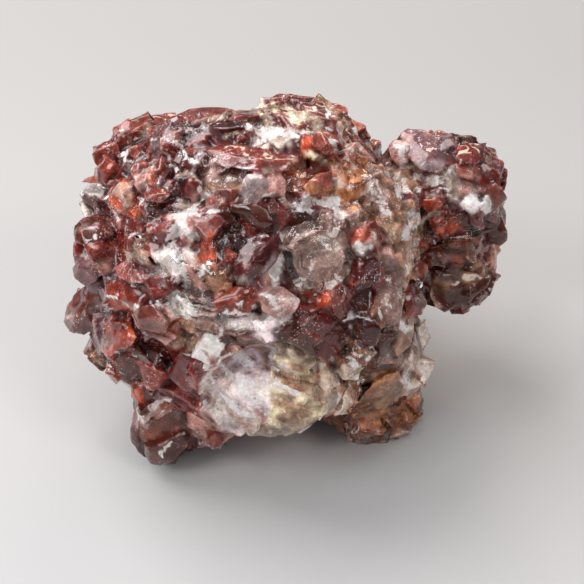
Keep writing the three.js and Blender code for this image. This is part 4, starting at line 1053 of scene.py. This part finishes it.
origin_face = np.array([grown_tree.find_nearest(point)[2] for point in place.tolist()])
for size, reach, seed in BENDS:
    place = place + reach * noises(place, size, seed)
set_places(fused, place)
dents = sum(reach * noise(place, size, seed) for size, reach, seed in DENTS)
place = place + normals_of(fused) * dents[:, None]
place[:, 2] = np.maximum(place[:, 2], 0.0)
smooth_place = relaxed(place, links, SMOOTH_ROUNDS)
broad_place = relaxed(smooth_place, links, BROAD_ROUNDS)
set_places(fused, broad_place)
broad_normal = normals_of(fused)
set_places(fused, place)
surface_normal = normals_of(fused)
rim = ((place - smooth_place) * surface_normal).sum(axis=1)
height = ((place - broad_place) * broad_normal).sum(axis=1)

crystal = face_crystal[origin_face]
facet = cad_facet[np.minimum(origin_face, len(cad_facet) - 1)]
source = np.where(crystal >= 0, facet_count + crystal, facet)
kind = source_kind[source]

# ---- The pale bulge: white at its left, amber at its right ------------------------------------

# Its middle and half-size on the display view, and how its outline wanders.
BULGE_MIDDLE, BULGE_HALF = np.array([-6.2, -24.8]), np.array([16.2, 11.8])
BULGE_WANDER, BULGE_WAVES = 0.07, 4.0
TURNED_AWAY = -0.25      # the least cosine to the eye of what belongs to it
BULGE_SMOOTHNESS = 0.85  # how far its small facets give way to the broad form, and
SMOOTH_EDGE, RELIEF_EDGE = 5, 4   # how steeply this and its own relief set in from its outline
# Its white half has planes that fall away from a peak: the bearing each falls towards (degrees),
# its slope and its height over the peak.  Its amber half has the steps of the cleavage.
BULGE_PEAK = (-5.5, 0.5)
BULGE_PLANES = [(143, 0.50, 2.4), (215, 0.55, 2.7), (278, 0.45, 2.6), (25, 0.34, 2.0), (92, 0.55, 3.0)]
CLEAVAGE_ANGLE = math.radians(-25)
CLEAVAGE_EVERY = 3.0
CLEAVAGE_STEP = 1.5
CLEAVAGE_WANDER, CLEAVAGE_WAVES = 0.12, 5.0
# The halves meet at this far right of the middle, and farther left below SPLIT_LEANS_BELOW.
SPLIT, SPLIT_LEANS_BELOW, SPLIT_LEAN = 1.4, -5.0, 0.9
SPLIT_WANDER = ((3.0, 1.3, 75), (1.1, 0.5, 77))

seen_at = display_place(place)
seen_facing = (unit(EYE - place) * broad_normal).sum(axis=1)
from_middle = seen_at - BULGE_MIDDLE
wandering = BULGE_WANDER * noises(place, BULGE_WAVES, 71, 2)
inwards = 1 - np.hypot(*(from_middle / BULGE_HALF + wandering).T)
on_bulge = (inwards > 0) & (seen_facing > TURNED_AWAY)
smoothness = np.clip(inwards * SMOOTH_EDGE, 0, BULGE_SMOOTHNESS)[:, None] * on_bulge[:, None]
place = place * (1 - smoothness) + broad_place * smoothness
bearings, slopes, tops = np.array(BULGE_PLANES).T
falls = np.stack([np.cos(np.radians(bearings)), np.sin(np.radians(bearings))])
white_planes = (tops - slopes * ((from_middle - BULGE_PEAK) @ falls)).min(axis=1)
cleavage = from_middle @ (-math.sin(CLEAVAGE_ANGLE), math.cos(CLEAVAGE_ANGLE)) / CLEAVAGE_EVERY
cleavage += CLEAVAGE_WANDER * noise(place, CLEAVAGE_WAVES, 76)
split = SPLIT - SPLIT_LEAN * np.maximum(SPLIT_LEANS_BELOW - from_middle[:, 1], 0)
split -= sum(reach * noise(place, size, seed) for size, reach, seed in SPLIT_WANDER)
in_amber = from_middle[:, 0] > split
relief = np.where(in_amber, CLEAVAGE_STEP * (cleavage % 1.0), white_planes)
relief = relief * np.clip(inwards * RELIEF_EDGE, 0, 1) * on_bulge
place = place + broad_normal * relief[:, None]
kind[on_bulge] = KIND_NAMES.index("bulge_white")
kind[on_bulge & in_amber] = KIND_NAMES.index("bulge_amber")

# Growth layers: how far each point lies along one edge direction of its crystal.
layer_direction = unit(np.array([edges[0] for edges in domain_edges]))
layer = (place * layer_direction[source_domain[source]]).sum(axis=1)

# ---- Clear zones: the ground sinks under a see-through shell ----------------------------------

# The kinds that are see-through, in which shell, and how thick they are.
SHELLS = {
    "clear_calcite": {"clear": 2.6, "bulge_amber": 0.7, "smoke": 1.2, "ice": 1.4},
    "amber_calcite": {"amber": 2.2, "brown": 2.4, "orange_and_glow": 1.2, "tan": 1.6},
}
SMALLEST_SHELL = 60      # points
BURIED = 0.9             # how far the back of a shell reaches into the ground
BORDER_ROUNDS, SINK_ROUNDS = 7, 14
SHELVING, SHELF_POWER = 2.2, 0.6
LEVELLING = 3
RIPPLE, RIPPLE_SIZE = 0.35, 3.0
LIFT = 0.02              # how far a shell's front stands over the surface
LOWEST_BACK = 0.3


def connected(mask, edges):
    """The mask without its pieces that have fewer than SMALLEST_SHELL points."""
    label = np.where(mask, np.arange(len(mask)), -1)
    inner = edges[mask[edges[:, 0]] & mask[edges[:, 1]]]
    while True:
        least = label.copy()
        np.minimum.at(least, inner[:, 0], label[inner[:, 1]])
        np.minimum.at(least, inner[:, 1], label[inner[:, 0]])
        least[mask] = least[least[mask]]
        if (least == label).all():
            break
        label = least
    size = np.bincount(label[mask], minlength=len(mask))
    kept = mask.copy()
    kept[mask] = size[label[mask]] >= SMALLEST_SHELL
    return kept


fused_quads = np.array([side.vertices[:] for side in fused.polygons if len(side.vertices) == 4])
ground = place.copy()
shell_masks = {}
for shell, thickness in SHELLS.items():
    depth = np.zeros(len(KIND_NAMES))
    for name, value in thickness.items():
        depth[KIND_NAMES.index(name)] = value
    inside = relaxed((depth[kind] > 0).astype(float)[:, None], links, BORDER_ROUNDS)[:, 0]
    mask = connected(inside > 0.5, links)
    for other in shell_masks.values():
        mask &= ~other
    shell_masks[shell] = mask
    shelving = np.clip((inside - 0.5) * SHELVING, 0, 1) ** SHELF_POWER * mask
    sink = relaxed(depth[kind][:, None], links, SINK_ROUNDS)[:, 0] * shelving
    level = np.clip((inside - 0.5) * LEVELLING, 0, 1)[:, None] * mask[:, None]
    smoother = np.where(on_bulge[:, None], place, smooth_place)
    inner = ground * (1 - level) + smoother * level
    ripple = 1 + RIPPLE * noise(place, RIPPLE_SIZE, 51)
    ground = inner - broad_normal * (sink * ripple)[:, None]
ground[:, 2] = np.maximum(ground[:, 2], 0.0)


def open_sides(polygons):
    """The sides (first point, second point) of some polygons that no other polygon shares."""
    corners = polygons.shape[1]
    sides = np.concatenate([polygons[:, [i, (i + 1) % corners]] for i in range(corners)])
    found = dict.fromkeys(map(tuple, sides.tolist()))
    return [(first, second) for first, second in found if (second, first) not in found]


def shell_mesh(name, mask):
    """A closed shell: the surface where mask holds, and the same outline buried in the ground."""
    quads = fused_quads[mask[fused_quads].all(axis=1)]
    used, quads = np.unique(quads, return_inverse=True)
    quads = quads.reshape(-1, 4)
    outer = place[used] + LIFT * surface_normal[used]
    inner = ground[used] - BURIED * broad_normal[used]
    inner[:, 2] = np.maximum(inner[:, 2], LOWEST_BACK)
    border = open_sides(quads)
    count = len(used)
    walls = [[g, f, f + count, g + count] for f, g in border]
    faces = quads.tolist() + (quads[:, ::-1] + count).tolist() + walls
    return mesh_from(name, np.concatenate([outer, inner]), faces)


# ---- The surface's colours --------------------------------------------------------------------

# How much a crystal's brightness varies from its kind's, and that of each of its sides, and
# how much its red and blue do.
TONE, SIDE_TONE, HUE = 0.12, 0.20, 0.04
SIDE_STEPS = 4
TINT_ROUNDS, FROST_ROUNDS = 4, 3
# Thin frosted veins through the whole mass, and broad drifts of frost.
VEIN_SIZE, VEIN_THINNESS, VEIN_FROST = 7.0, 5, 0.35
DRIFT_SIZE, DRIFT_LEVEL, DRIFT_FROST = 12.0, 0.3, 0.22
MOST_FROST = 1.2
# The traced strokes: their ragged edges (size, reach, seed) and where they break off.  Both are
# weaker on the bulge, whose cleavage is crisp.
RAGGED = ((1.8, 0.5, 61), (0.9, 0.35, 62))
BULGE_RAGGED, OTHER_RAGGED = 0.35, 0.85
BREAK_SIZE, BREAK_SHARPNESS, LEAST_LEFT = 2.4, 2.5, 0.2
BULGE_UNBROKEN, OTHER_UNBROKEN = 1.6, 1.1
STROKE_REACH = 2.2       # a stroke's ragged edge reaches this many half-widths
STROKE_CORE, RAGGEDNESS, EDGE_SHARPNESS = 1.15, 1.1, 1.6
FROST_STROKE, SNOW_STROKE = 1.1, 0.35
STAIN_AND_SHEEN, STAIN_AND_SHEEN_CLEARS = 0.85, 0.6


def linear(colours):
    """sRGB colours, 0 to 255, as linear ones."""
    colours = np.asarray(colours, float) / 255
    return np.where(colours < 0.04045, colours / 12.92, ((colours + 0.055) / 1.055) ** 2.4)


kind_colour = linear([KINDS[name][0] for name in KIND_NAMES])
kind_frost = np.array([KINDS[name][1] for name in KIND_NAMES])
tone = source_tone[source]
sides = np.array([points[face[:3]] for face in faces])
side_normal = unit(np.cross(sides[:, 1] - sides[:, 0], sides[:, 2] - sides[:, 0]))
side_tone = lattice(np.round(side_normal * SIDE_STEPS) + face_crystal[:, None], 31)[origin_face] - 0.5
tint = kind_colour[kind]
tint = tint * np.exp(TONE * tone[:, :1] + SIDE_TONE * side_tone[:, None])
tint[:, 0] *= np.exp(HUE * tone[:, 1])
tint[:, 2] *= np.exp(HUE * tone[:, 2])
tint = relaxed(tint, links, TINT_ROUNDS)
frost = relaxed(kind_frost[kind][:, None], links, FROST_ROUNDS)[:, 0]
veins = np.clip(1 - np.abs(noise(place, VEIN_SIZE, 41)) * VEIN_THINNESS, 0, 1)
frost = np.clip(frost + VEIN_FROST * veins, 0, 1)
frost += DRIFT_FROST * np.clip(noise(place, DRIFT_SIZE, 64) + DRIFT_LEVEL, 0, 1)


def distance_to(line, at):
    """How far places of the display view are from a line of straight stretches."""
    away = np.full(len(at), np.inf)
    for start, end in zip(line[:-1], line[1:]):
        stretch = end - start
        along = np.clip((at - start) @ stretch / (stretch @ stretch), 0, 1)
        away = np.minimum(away, np.linalg.norm(at - start - along[:, None] * stretch, axis=1))
    return away


gold_glint = np.zeros(len(place))
ragged = sum(reach * noise(place, size, seed) for size, reach, seed in RAGGED)
ragged *= np.where(on_bulge, BULGE_RAGGED, OTHER_RAGGED)
breaks = noise(place, BREAK_SIZE, 63) * BREAK_SHARPNESS
breaks = np.clip(breaks + np.where(on_bulge, BULGE_UNBROKEN, OTHER_UNBROKEN), LEAST_LEFT, 1)
for name, width, line in STROKES:
    low, high = line.min(axis=0) - STROKE_REACH * width, line.max(axis=0) + STROKE_REACH * width
    near = np.flatnonzero((seen_facing > LEAST_FACING)
                          & (seen_at > low).all(axis=1) & (seen_at < high).all(axis=1))
    strength = STROKE_CORE + RAGGEDNESS * ragged[near] - distance_to(line, seen_at[near]) / width
    strength = np.clip(strength * EDGE_SHARPNESS, 0, 1) * breaks[near]
    if name == "frost":
        frost[near] = np.maximum(frost[near], FROST_STROKE * strength)
    elif name == "snow":
        frost[near] += SNOW_STROKE * strength
    # Golden glint strokes: a painted glint mask.
    elif name == "gold_glint":
        gold_glint[near] = np.maximum(gold_glint[near], strength)
    else:
        # Kind-colour strokes: real stains, but painted sheen for the lilac kind and partly a painted glow
        # for the ember kind.
        amount = STAIN_AND_SHEEN * strength[:, None]
        tint[near] = tint[near] * (1 - amount) + amount * kind_colour[KIND_NAMES.index(name)]
        frost[near] *= 1 - STAIN_AND_SHEEN_CLEARS * strength
frost = np.clip(frost, 0, MOST_FROST)


def paint(mesh, name, values):
    values = np.asarray(values, np.float32)
    if values.ndim == 2:
        attribute = mesh.attributes.new(name, "FLOAT_COLOR", "POINT")
        full = np.ones((len(values), 4), np.float32)
        full[:, :3] = values
        attribute.data.foreach_set("color", full.ravel())
    else:
        attribute = mesh.attributes.new(name, "FLOAT", "POINT")
        attribute.data.foreach_set("value", values)


PAINTED = {"tint": tint.clip(0, 1), "frost": frost, "rim": rim, "height": height, "layer": layer,
           "gold_glint": gold_glint}

# ---- The final meshes -------------------------------------------------------------------------

set_places(fused, ground)
triangles = 2 * len(fused.polygons)
final = applied(fused, "DECIMATE", ratio=2 * MOST_TRIANGLES / triangles)
final_place = vertices_of(final)

dense_tree = KDTree(len(ground))
for index, point in enumerate(ground.tolist()):
    dense_tree.insert(point, index)
dense_tree.balance()
nearest = np.array([dense_tree.find(point)[1] for point in final_place.tolist()])


def cut_in_two(mesh, positions):
    """The mesh's faces as a front and a rear closed mesh, each with half of the triangles."""
    mesh.calc_loop_triangles()
    corners = values_of(mesh.loop_triangles, "vertices", 3, np.int32)
    depth = (positions[corners].mean(axis=1) - VIEW_CENTRE) @ TOWARDS
    limit = np.median(depth)
    halves = {}
    for name, chosen in (("calcite_front", depth >= limit), ("calcite_rear", depth < limit)):
        part = corners[chosen]
        used, part = np.unique(part, return_inverse=True)
        part = part.reshape(-1, 3)
        follows = {}
        for first, second in open_sides(part):
            follows.setdefault(second, []).append(first)
        halves[name] = closed_part(name, used, part, follows, positions)
    return halves


def closed_part(name, used, part, follows, positions):
    """A part whose open borders are each closed by a fan to the border's middle.

    follows gives, for each point of a border, the points that come after it.
    """
    places_used = positions[used]
    extra = []
    caps = []
    while follows:
        start = next(iter(follows))
        loop = [start]
        while True:
            options = follows[loop[-1]]
            following = options.pop()
            if not options:
                del follows[loop[-1]]
            if following == start or following not in follows:
                break
            loop.append(following)
        middle = len(used) + len(extra)
        extra.append(places_used[loop].mean(axis=0))
        caps += [[loop[i], loop[(i + 1) % len(loop)], middle] for i in range(len(loop))]
    vertices = np.concatenate([places_used, np.array(extra).reshape(-1, 3)])
    mesh = mesh_from(name, vertices, part.tolist() + caps)
    rows = np.concatenate([nearest[used], np.zeros(len(extra), int)])
    for attribute, values in PAINTED.items():
        paint(mesh, attribute, values[rows])
    mesh.polygons.foreach_set("use_smooth", [True] * len(mesh.polygons))
    return object_from(name, mesh)


pieces = cut_in_two(final, final_place)
for name, mask in shell_masks.items():
    mesh = shell_mesh(name, mask)
    mesh.polygons.foreach_set("use_smooth", [True] * len(mesh.polygons))
    pieces[name] = object_from(name, mesh)
for name, piece in pieces.items():
    piece.data.validate()
    print(name, sum(len(p.vertices) - 2 for p in piece.data.polygons))

# ---- Materials --------------------------------------------------------------------------------


class Nodes:
    """Builds the node tree of a material or a world from nothing."""

    def __init__(self, owner):
        owner.use_nodes = True
        self.owner = owner
        self.tree = owner.node_tree
        self.tree.nodes.clear()

    def add(self, kind, inputs=None, **settings):
        node = self.tree.nodes.new(kind)
        for name, value in settings.items():
            setattr(node, name, value)
        for name, value in (inputs or {}).items():
            if isinstance(value, bpy.types.NodeSocket):
                self.tree.links.new(value, node.inputs[name])
            else:
                node.inputs[name].default_value = value
        return node

    def attribute(self, name, output="Fac"):
        return self.add("ShaderNodeAttribute", attribute_name=name).outputs[output]

    def math(self, operation, first, second=0.0, third=0.0, clamp=False):
        return self.add("ShaderNodeMath", {0: first, 1: second, 2: third}, operation=operation,
                        use_clamp=clamp).outputs[0]

    def blend(self, factor, first, second, mode="MIX"):
        """A mixture of two colours; 6, 7 and 2 are the mix node's colour sockets."""
        return self.add("ShaderNodeMix", {0: factor, 6: first, 7: second}, data_type="RGBA",
                        blend_type=mode).outputs[2]

    def vector(self, operation, *inputs, **named_inputs):
        return self.add("ShaderNodeVectorMath", {**dict(enumerate(inputs)), **named_inputs},
                        operation=operation).outputs[0]

    def noise(self, vector, size, detail, roughness=0.5, output="Fac"):
        """A noise texture whose cells are size millimetres across."""
        return self.add("ShaderNodeTexNoise", {
            "Vector": vector, "Scale": per_mm(size), "Detail": detail, "Roughness": roughness,
        }).outputs[output]

    def cells(self, vector, size, output="Color", feature="F1"):
        """A cell texture whose cells are size millimetres across."""
        return self.add("ShaderNodeTexVoronoi", {"Vector": vector, "Scale": per_mm(size)},
                        feature=feature).outputs[output]

    def bump(self, height, strength, distance, normal=None):
        inputs = {"Height": height, "Strength": strength, "Distance": distance * MM}
        if normal is not None:
            inputs["Normal"] = normal
        return self.add("ShaderNodeBump", inputs).outputs["Normal"]

    def here(self):
        return self.add("ShaderNodeTexCoord").outputs["Object"]

    def ramp(self, value, low, high, to_low=0.0, to_high=1.0, smooth=True):
        return self.add("ShaderNodeMapRange", {
            "Value": value, "From Min": low, "From Max": high, "To Min": to_low, "To Max": to_high,
        }, interpolation_type="SMOOTHSTEP" if smooth else "LINEAR").outputs["Result"]


def per_mm(size):
    """The texture scale at which one cell is size millimetres."""
    return 1 / (size * MM)


# Painted light in the colour: shade in hollows, a warm glow at crystal tips, pale edges that are partly a
# painted highlight, white specks that are partly painted glints, and golden glints.
DEEP_SHADE, LIT_SHADE = (0.22, 0.09, 0.08, 1), (1.08, 1.08, 1.08, 1)
WARM_TIP_GLOW = (0.42, 0.15, 0.09, 1)
PALE_EDGE_AND_HIGHLIGHT = (0.66, 0.47, 0.42, 1)
PALE_CRACK = (0.74, 0.62, 0.58, 1)
SNOW = (0.96, 0.93, 0.92, 1)
SPECK_AND_GLINT = (0.95, 0.90, 0.89, 1)
GOLD_GLINT = (0.98, 0.84, 0.62, 1)
BEND_SIZE, BEND_REACH = 3.0, 2.5
STEP_SIZE, STEP_LEAN = 1.9, 0.34
CRACK_SIZE = 2.6
LAYER_SCALE = 1.7        # growth lines to a millimetre


def surface_material():
    """The calcite: each point's own tint, broken up, frosted and specked by procedural textures, with
    painted shade in hollows, a painted glow at tips, painted edge highlights and painted glints.
    """
    n = Nodes(bpy.data.materials.new("red_calcite"))
    here = n.here()
    tint = n.attribute("tint", "Color")
    frost, rim, height, layer, gold_glint = (n.attribute(name) for name in
                                       ("frost", "rim", "height", "layer", "gold_glint"))

    def grey(value):
        return n.add("ShaderNodeCombineColor", {0: value, 1: value, 2: value}).outputs[0]

    def leaning(cells, amount):
        """Directions that differ from cell to cell."""
        return n.vector("SCALE", n.vector("SUBTRACT", cells, (0.5, 0.5, 0.5)), Scale=amount)

    def product(*values):
        result = values[0]
        for value in values[1:]:
            result = n.math("MULTIPLY", result, value)
        return result

    mottle = n.noise(here, 2.2, 6.0, 0.62)
    cloud = n.noise(here, 5.0, 3.0)
    grain = n.noise(here, 0.7, 4.0, 0.7)
    speck_noise = n.noise(here, 0.45, 2.0, 0.6)
    lines = n.add("ShaderNodeTexNoise", {
        "W": layer, "Scale": LAYER_SCALE, "Detail": 3.0, "Roughness": 0.75,
    }, noise_dimensions="1D").outputs["Fac"]
    bend = n.vector("SCALE", n.noise(here, BEND_SIZE, 2.0, output="Color"), Scale=BEND_REACH * MM)
    bent = n.vector("ADD", here, bend)

    # The tint, darker and lighter with each texture: its range, and the shades at its ends.
    colour = tint
    for texture, low, high, dark, light in (
            (mottle, 0.3, 0.7, 0.62, 1.38), (cloud, 0.35, 0.65, 0.72, 1.2),
            (grain, 0.35, 0.65, 0.84, 1.18), (lines, 0.35, 0.68, 0.93, 1.08)):
        colour = n.blend(1.0, colour, grey(n.ramp(texture, low, high, dark, light)), "MULTIPLY")
    # Painted shade: darker where the surface lies below its broad form, in hollows and clefts, and a little
    # lighter on what stands out.
    hollow_shade = n.blend(n.ramp(height, -0.8, 0.35), DEEP_SHADE, LIT_SHADE)
    colour = n.blend(1.0, colour, hollow_shade, "MULTIPLY")

    # Painted warm glow at the crystals' tips, pale edges that are partly bruised and partly a painted
    # highlight, and pale cracks.
    tip_glow = product(n.ramp(height, 0.2, 1.2), n.ramp(cloud, 0.4, 0.62), 0.4)
    colour = n.blend(tip_glow, colour, WARM_TIP_GLOW)
    # Pale edges: partly a pale bruised rim, partly a painted highlight along the crystals' edges.
    edge = product(n.ramp(rim, 0.04, 0.14), n.ramp(mottle, 0.44, 0.62, 0.0, 0.75))
    colour = n.blend(edge, colour, PALE_EDGE_AND_HIGHLIGHT)
    crack = n.ramp(n.cells(bent, CRACK_SIZE, "Distance", "DISTANCE_TO_EDGE"), 0.0, 0.05, 1.0, 0.0)
    crack = product(crack, n.ramp(grain, 0.46, 0.62), n.ramp(cloud, 0.46, 0.62, 0.0, 0.55))
    colour = n.blend(crack, colour, PALE_CRACK)

    # Frost in patches, white specks that are partly frost grains and partly painted glints, and painted
    # golden glints.
    patchy = n.math("ADD", product(mottle, 0.65), product(grain, 0.65))
    patchy = n.math("ADD", patchy, product(lines, 0.2))
    threshold = n.ramp(frost, 0.0, 1.0, 1.15, 0.55, smooth=False)
    white = n.ramp(n.math("SUBTRACT", patchy, threshold), -0.12, 0.2)
    snow = n.blend(n.ramp(grain, 0.35, 0.65), PALE_CRACK, SNOW)
    colour = n.blend(product(white, 0.92), colour, snow)
    common = n.math("ADD", product(frost, 0.20), n.ramp(cloud, 0.45, 0.7, -0.06, 0.03))
    speck_and_glint = n.ramp(n.math("ADD", speck_noise, common), 0.70, 0.75)
    colour = n.blend(product(speck_and_glint, 0.8), colour, SPECK_AND_GLINT)
    gold_glint_mask = product(gold_glint, n.ramp(grain, 0.34, 0.50))
    colour = n.blend(gold_glint_mask, colour, GOLD_GLINT)

    # Small faces that lean their own way: flakes, which sparkle in the frost, and cleavage steps.
    rough = n.math("ADD", n.ramp(grain, 0.3, 0.7, 0.12, 0.24), product(white, 0.15))
    sparkle = n.math("ADD", product(white, 0.6), gold_glint_mask, clamp=True)
    sparkle = n.math("ADD", product(sparkle, 0.6), 0.13)
    normal = n.bump(lines, 0.2, 0.2, n.bump(mottle, 0.14, 0.5))
    normal = n.vector("ADD", normal, leaning(n.cells(here, 0.5), sparkle))
    normal = n.vector("ADD", normal, leaning(n.cells(bent, STEP_SIZE), STEP_LEAN))
    shader = n.add("ShaderNodeBsdfPrincipled", {
        "Base Color": colour, "Roughness": rough, "IOR": 1.28,
        "Normal": n.vector("NORMALIZE", normal), "Metallic": product(gold_glint_mask, 0.3),
        "Subsurface Weight": 0.25, "Subsurface Radius": (1.0, 0.30, 0.18), "Subsurface Scale": 2.0 * MM,
        "Coat Weight": 0.85, "Coat Roughness": 0.04, "Coat IOR": 1.5,
    })
    n.add("ShaderNodeOutputMaterial", {"Surface": shader.outputs[0]})
    return n.owner


def clear_material(name, absorbed, density):
    """See-through calcite whose volume takes up light."""
    n = Nodes(bpy.data.materials.new(name))
    here = n.here()
    rough = n.ramp(n.noise(here, 0.5, 2.0), 0.35, 0.75, 0.02, 0.22)
    shader = n.add("ShaderNodeBsdfPrincipled", {
        "Base Color": (1, 1, 1, 1), "IOR": 1.52, "Transmission Weight": 1.0, "Roughness": rough,
        "Normal": n.bump(n.noise(here, 1.6, 4.0, 0.6), 0.25, 0.5)})
    volume = n.add("ShaderNodeVolumeAbsorption", {"Color": (*absorbed, 1), "Density": density})
    n.add("ShaderNodeOutputMaterial", {"Surface": shader.outputs[0], "Volume": volume.outputs[0]})
    return n.owner


calcite = surface_material()
MATERIALS = {
    "calcite_front": calcite,
    "calcite_rear": calcite,
    "clear_calcite": clear_material("clear_calcite", (0.92, 0.80, 0.74), 50.0),
    "amber_calcite": clear_material("amber_calcite", (0.78, 0.45, 0.26), 100.0),
}
for name, piece in pieces.items():
    piece.data.materials.append(MATERIALS[name])
    piece.visible_shadow = name not in SHELLS
    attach(piece, "root")
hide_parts(NODE)

# ---- The stage --------------------------------------------------------------------------------

FLOOR_SHADE_SLOPE = (0.15, 0.8)        # painted light falloff: the paper is painted darker to the right and, more, to the back
LIT_NEAR_PAPER, SHADED_FAR_PAPER = (0.63, 0.622, 0.616, 1), (0.445, 0.434, 0.426, 1)
FIBRE_SIZE = 1 / 0.9             # millimetres
SKY_LOW, SKY_HIGH = 0.10, 0.64   # the room is dark at the sides and bright above
SKY_COLOUR = (0.90, 0.93, 1.0, 1)


def paper_material():
    n = Nodes(bpy.data.materials.new("pale_paper"))
    here = n.here()
    axes = n.add("ShaderNodeSeparateXYZ", {0: here}).outputs
    slope = n.math("ADD", n.math("MULTIPLY", axes[0], FLOOR_SHADE_SLOPE[0]),
                   n.math("MULTIPLY", axes[1], FLOOR_SHADE_SLOPE[1]))
    # Painted light falloff on the floor: lit near the front, shaded towards the back.
    shader = n.add("ShaderNodeBsdfPrincipled", {
        "Base Color": n.blend(n.ramp(slope, -0.2, 0.2), LIT_NEAR_PAPER, SHADED_FAR_PAPER), "Roughness": 0.7,
        "Specular IOR Level": 0.2, "Normal": n.bump(n.noise(here, FIBRE_SIZE, 3.0), 0.08, 0.2)})
    n.add("ShaderNodeOutputMaterial", {"Surface": shader.outputs[0]})
    return n.owner


bpy.ops.mesh.primitive_plane_add(size=4.0, location=(0, 0, 0))
floor = bpy.context.object
floor.name = "floor"
floor.data.materials.append(paper_material())
floor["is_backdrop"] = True

sky = Nodes(bpy.data.worlds.new("studio"))
way = sky.add("ShaderNodeTexCoord").outputs["Generated"]
rise = sky.add("ShaderNodeSeparateXYZ", {0: way}).outputs["Z"]
light = sky.add("ShaderNodeBackground", {
    "Color": SKY_COLOUR, "Strength": sky.ramp(rise, 0.25, 0.95, SKY_LOW, SKY_HIGH)})
sky.add("ShaderNodeOutputWorld", {"Surface": light.outputs[0]})
bpy.context.scene.world = sky.owner


# Each light's name, place, the height it aims at, its size, its power in watts and its colour.
LIGHTS = [
    ("key", (-0.45, 0.35, 0.75), 0.04, (0.75, 0.55), 7.6, (1.0, 0.985, 0.98)),
    ("fill", (-0.60, -0.42, 0.72), 0.04, (0.4, 0.3), 3.2, (0.97, 0.98, 1.0)),
    ("right_fill", (0.55, -0.45, 0.72), 0.04, (0.3, 0.3), 2.0, (1.0, 0.95, 0.90)),
    ("strip", (0.20, 0.70, 0.50), 0.05, (0.45, 0.10), 1.6, (1.0, 0.86, 0.66)),
]
for name, stand, aim_height, extent, power, colour in LIGHTS:
    lamp = bpy.data.lights.new(name, "AREA")
    lamp.shape = "RECTANGLE"
    lamp.size, lamp.size_y = extent
    lamp.energy = power
    lamp.color = colour
    holder = object_from(name, lamp)
    holder.location = stand
    aim = Vector((0, 0, aim_height)) - Vector(stand)
    holder.rotation_euler = aim.to_track_quat("-Z", "Y").to_euler()

camera_data = bpy.data.cameras.new("display")
camera_data.sensor_width = SENSOR
camera_data.lens = SENSOR * VIEW_DISTANCE / VIEW_WIDTH
camera_data.clip_start = 0.01
camera = object_from("display", camera_data)
camera.location = Vector(EYE * MM)
camera.rotation_euler = (Vector(VIEW_CENTRE * MM) - camera.location).to_track_quat("-Z", "Y").to_euler()
bpy.context.scene.camera = camera
bpy.context.scene.view_settings.view_transform = "Standard"

size = {"cad": [list(corner) for corner in cad_box], "visual": [list(corner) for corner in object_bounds()]}
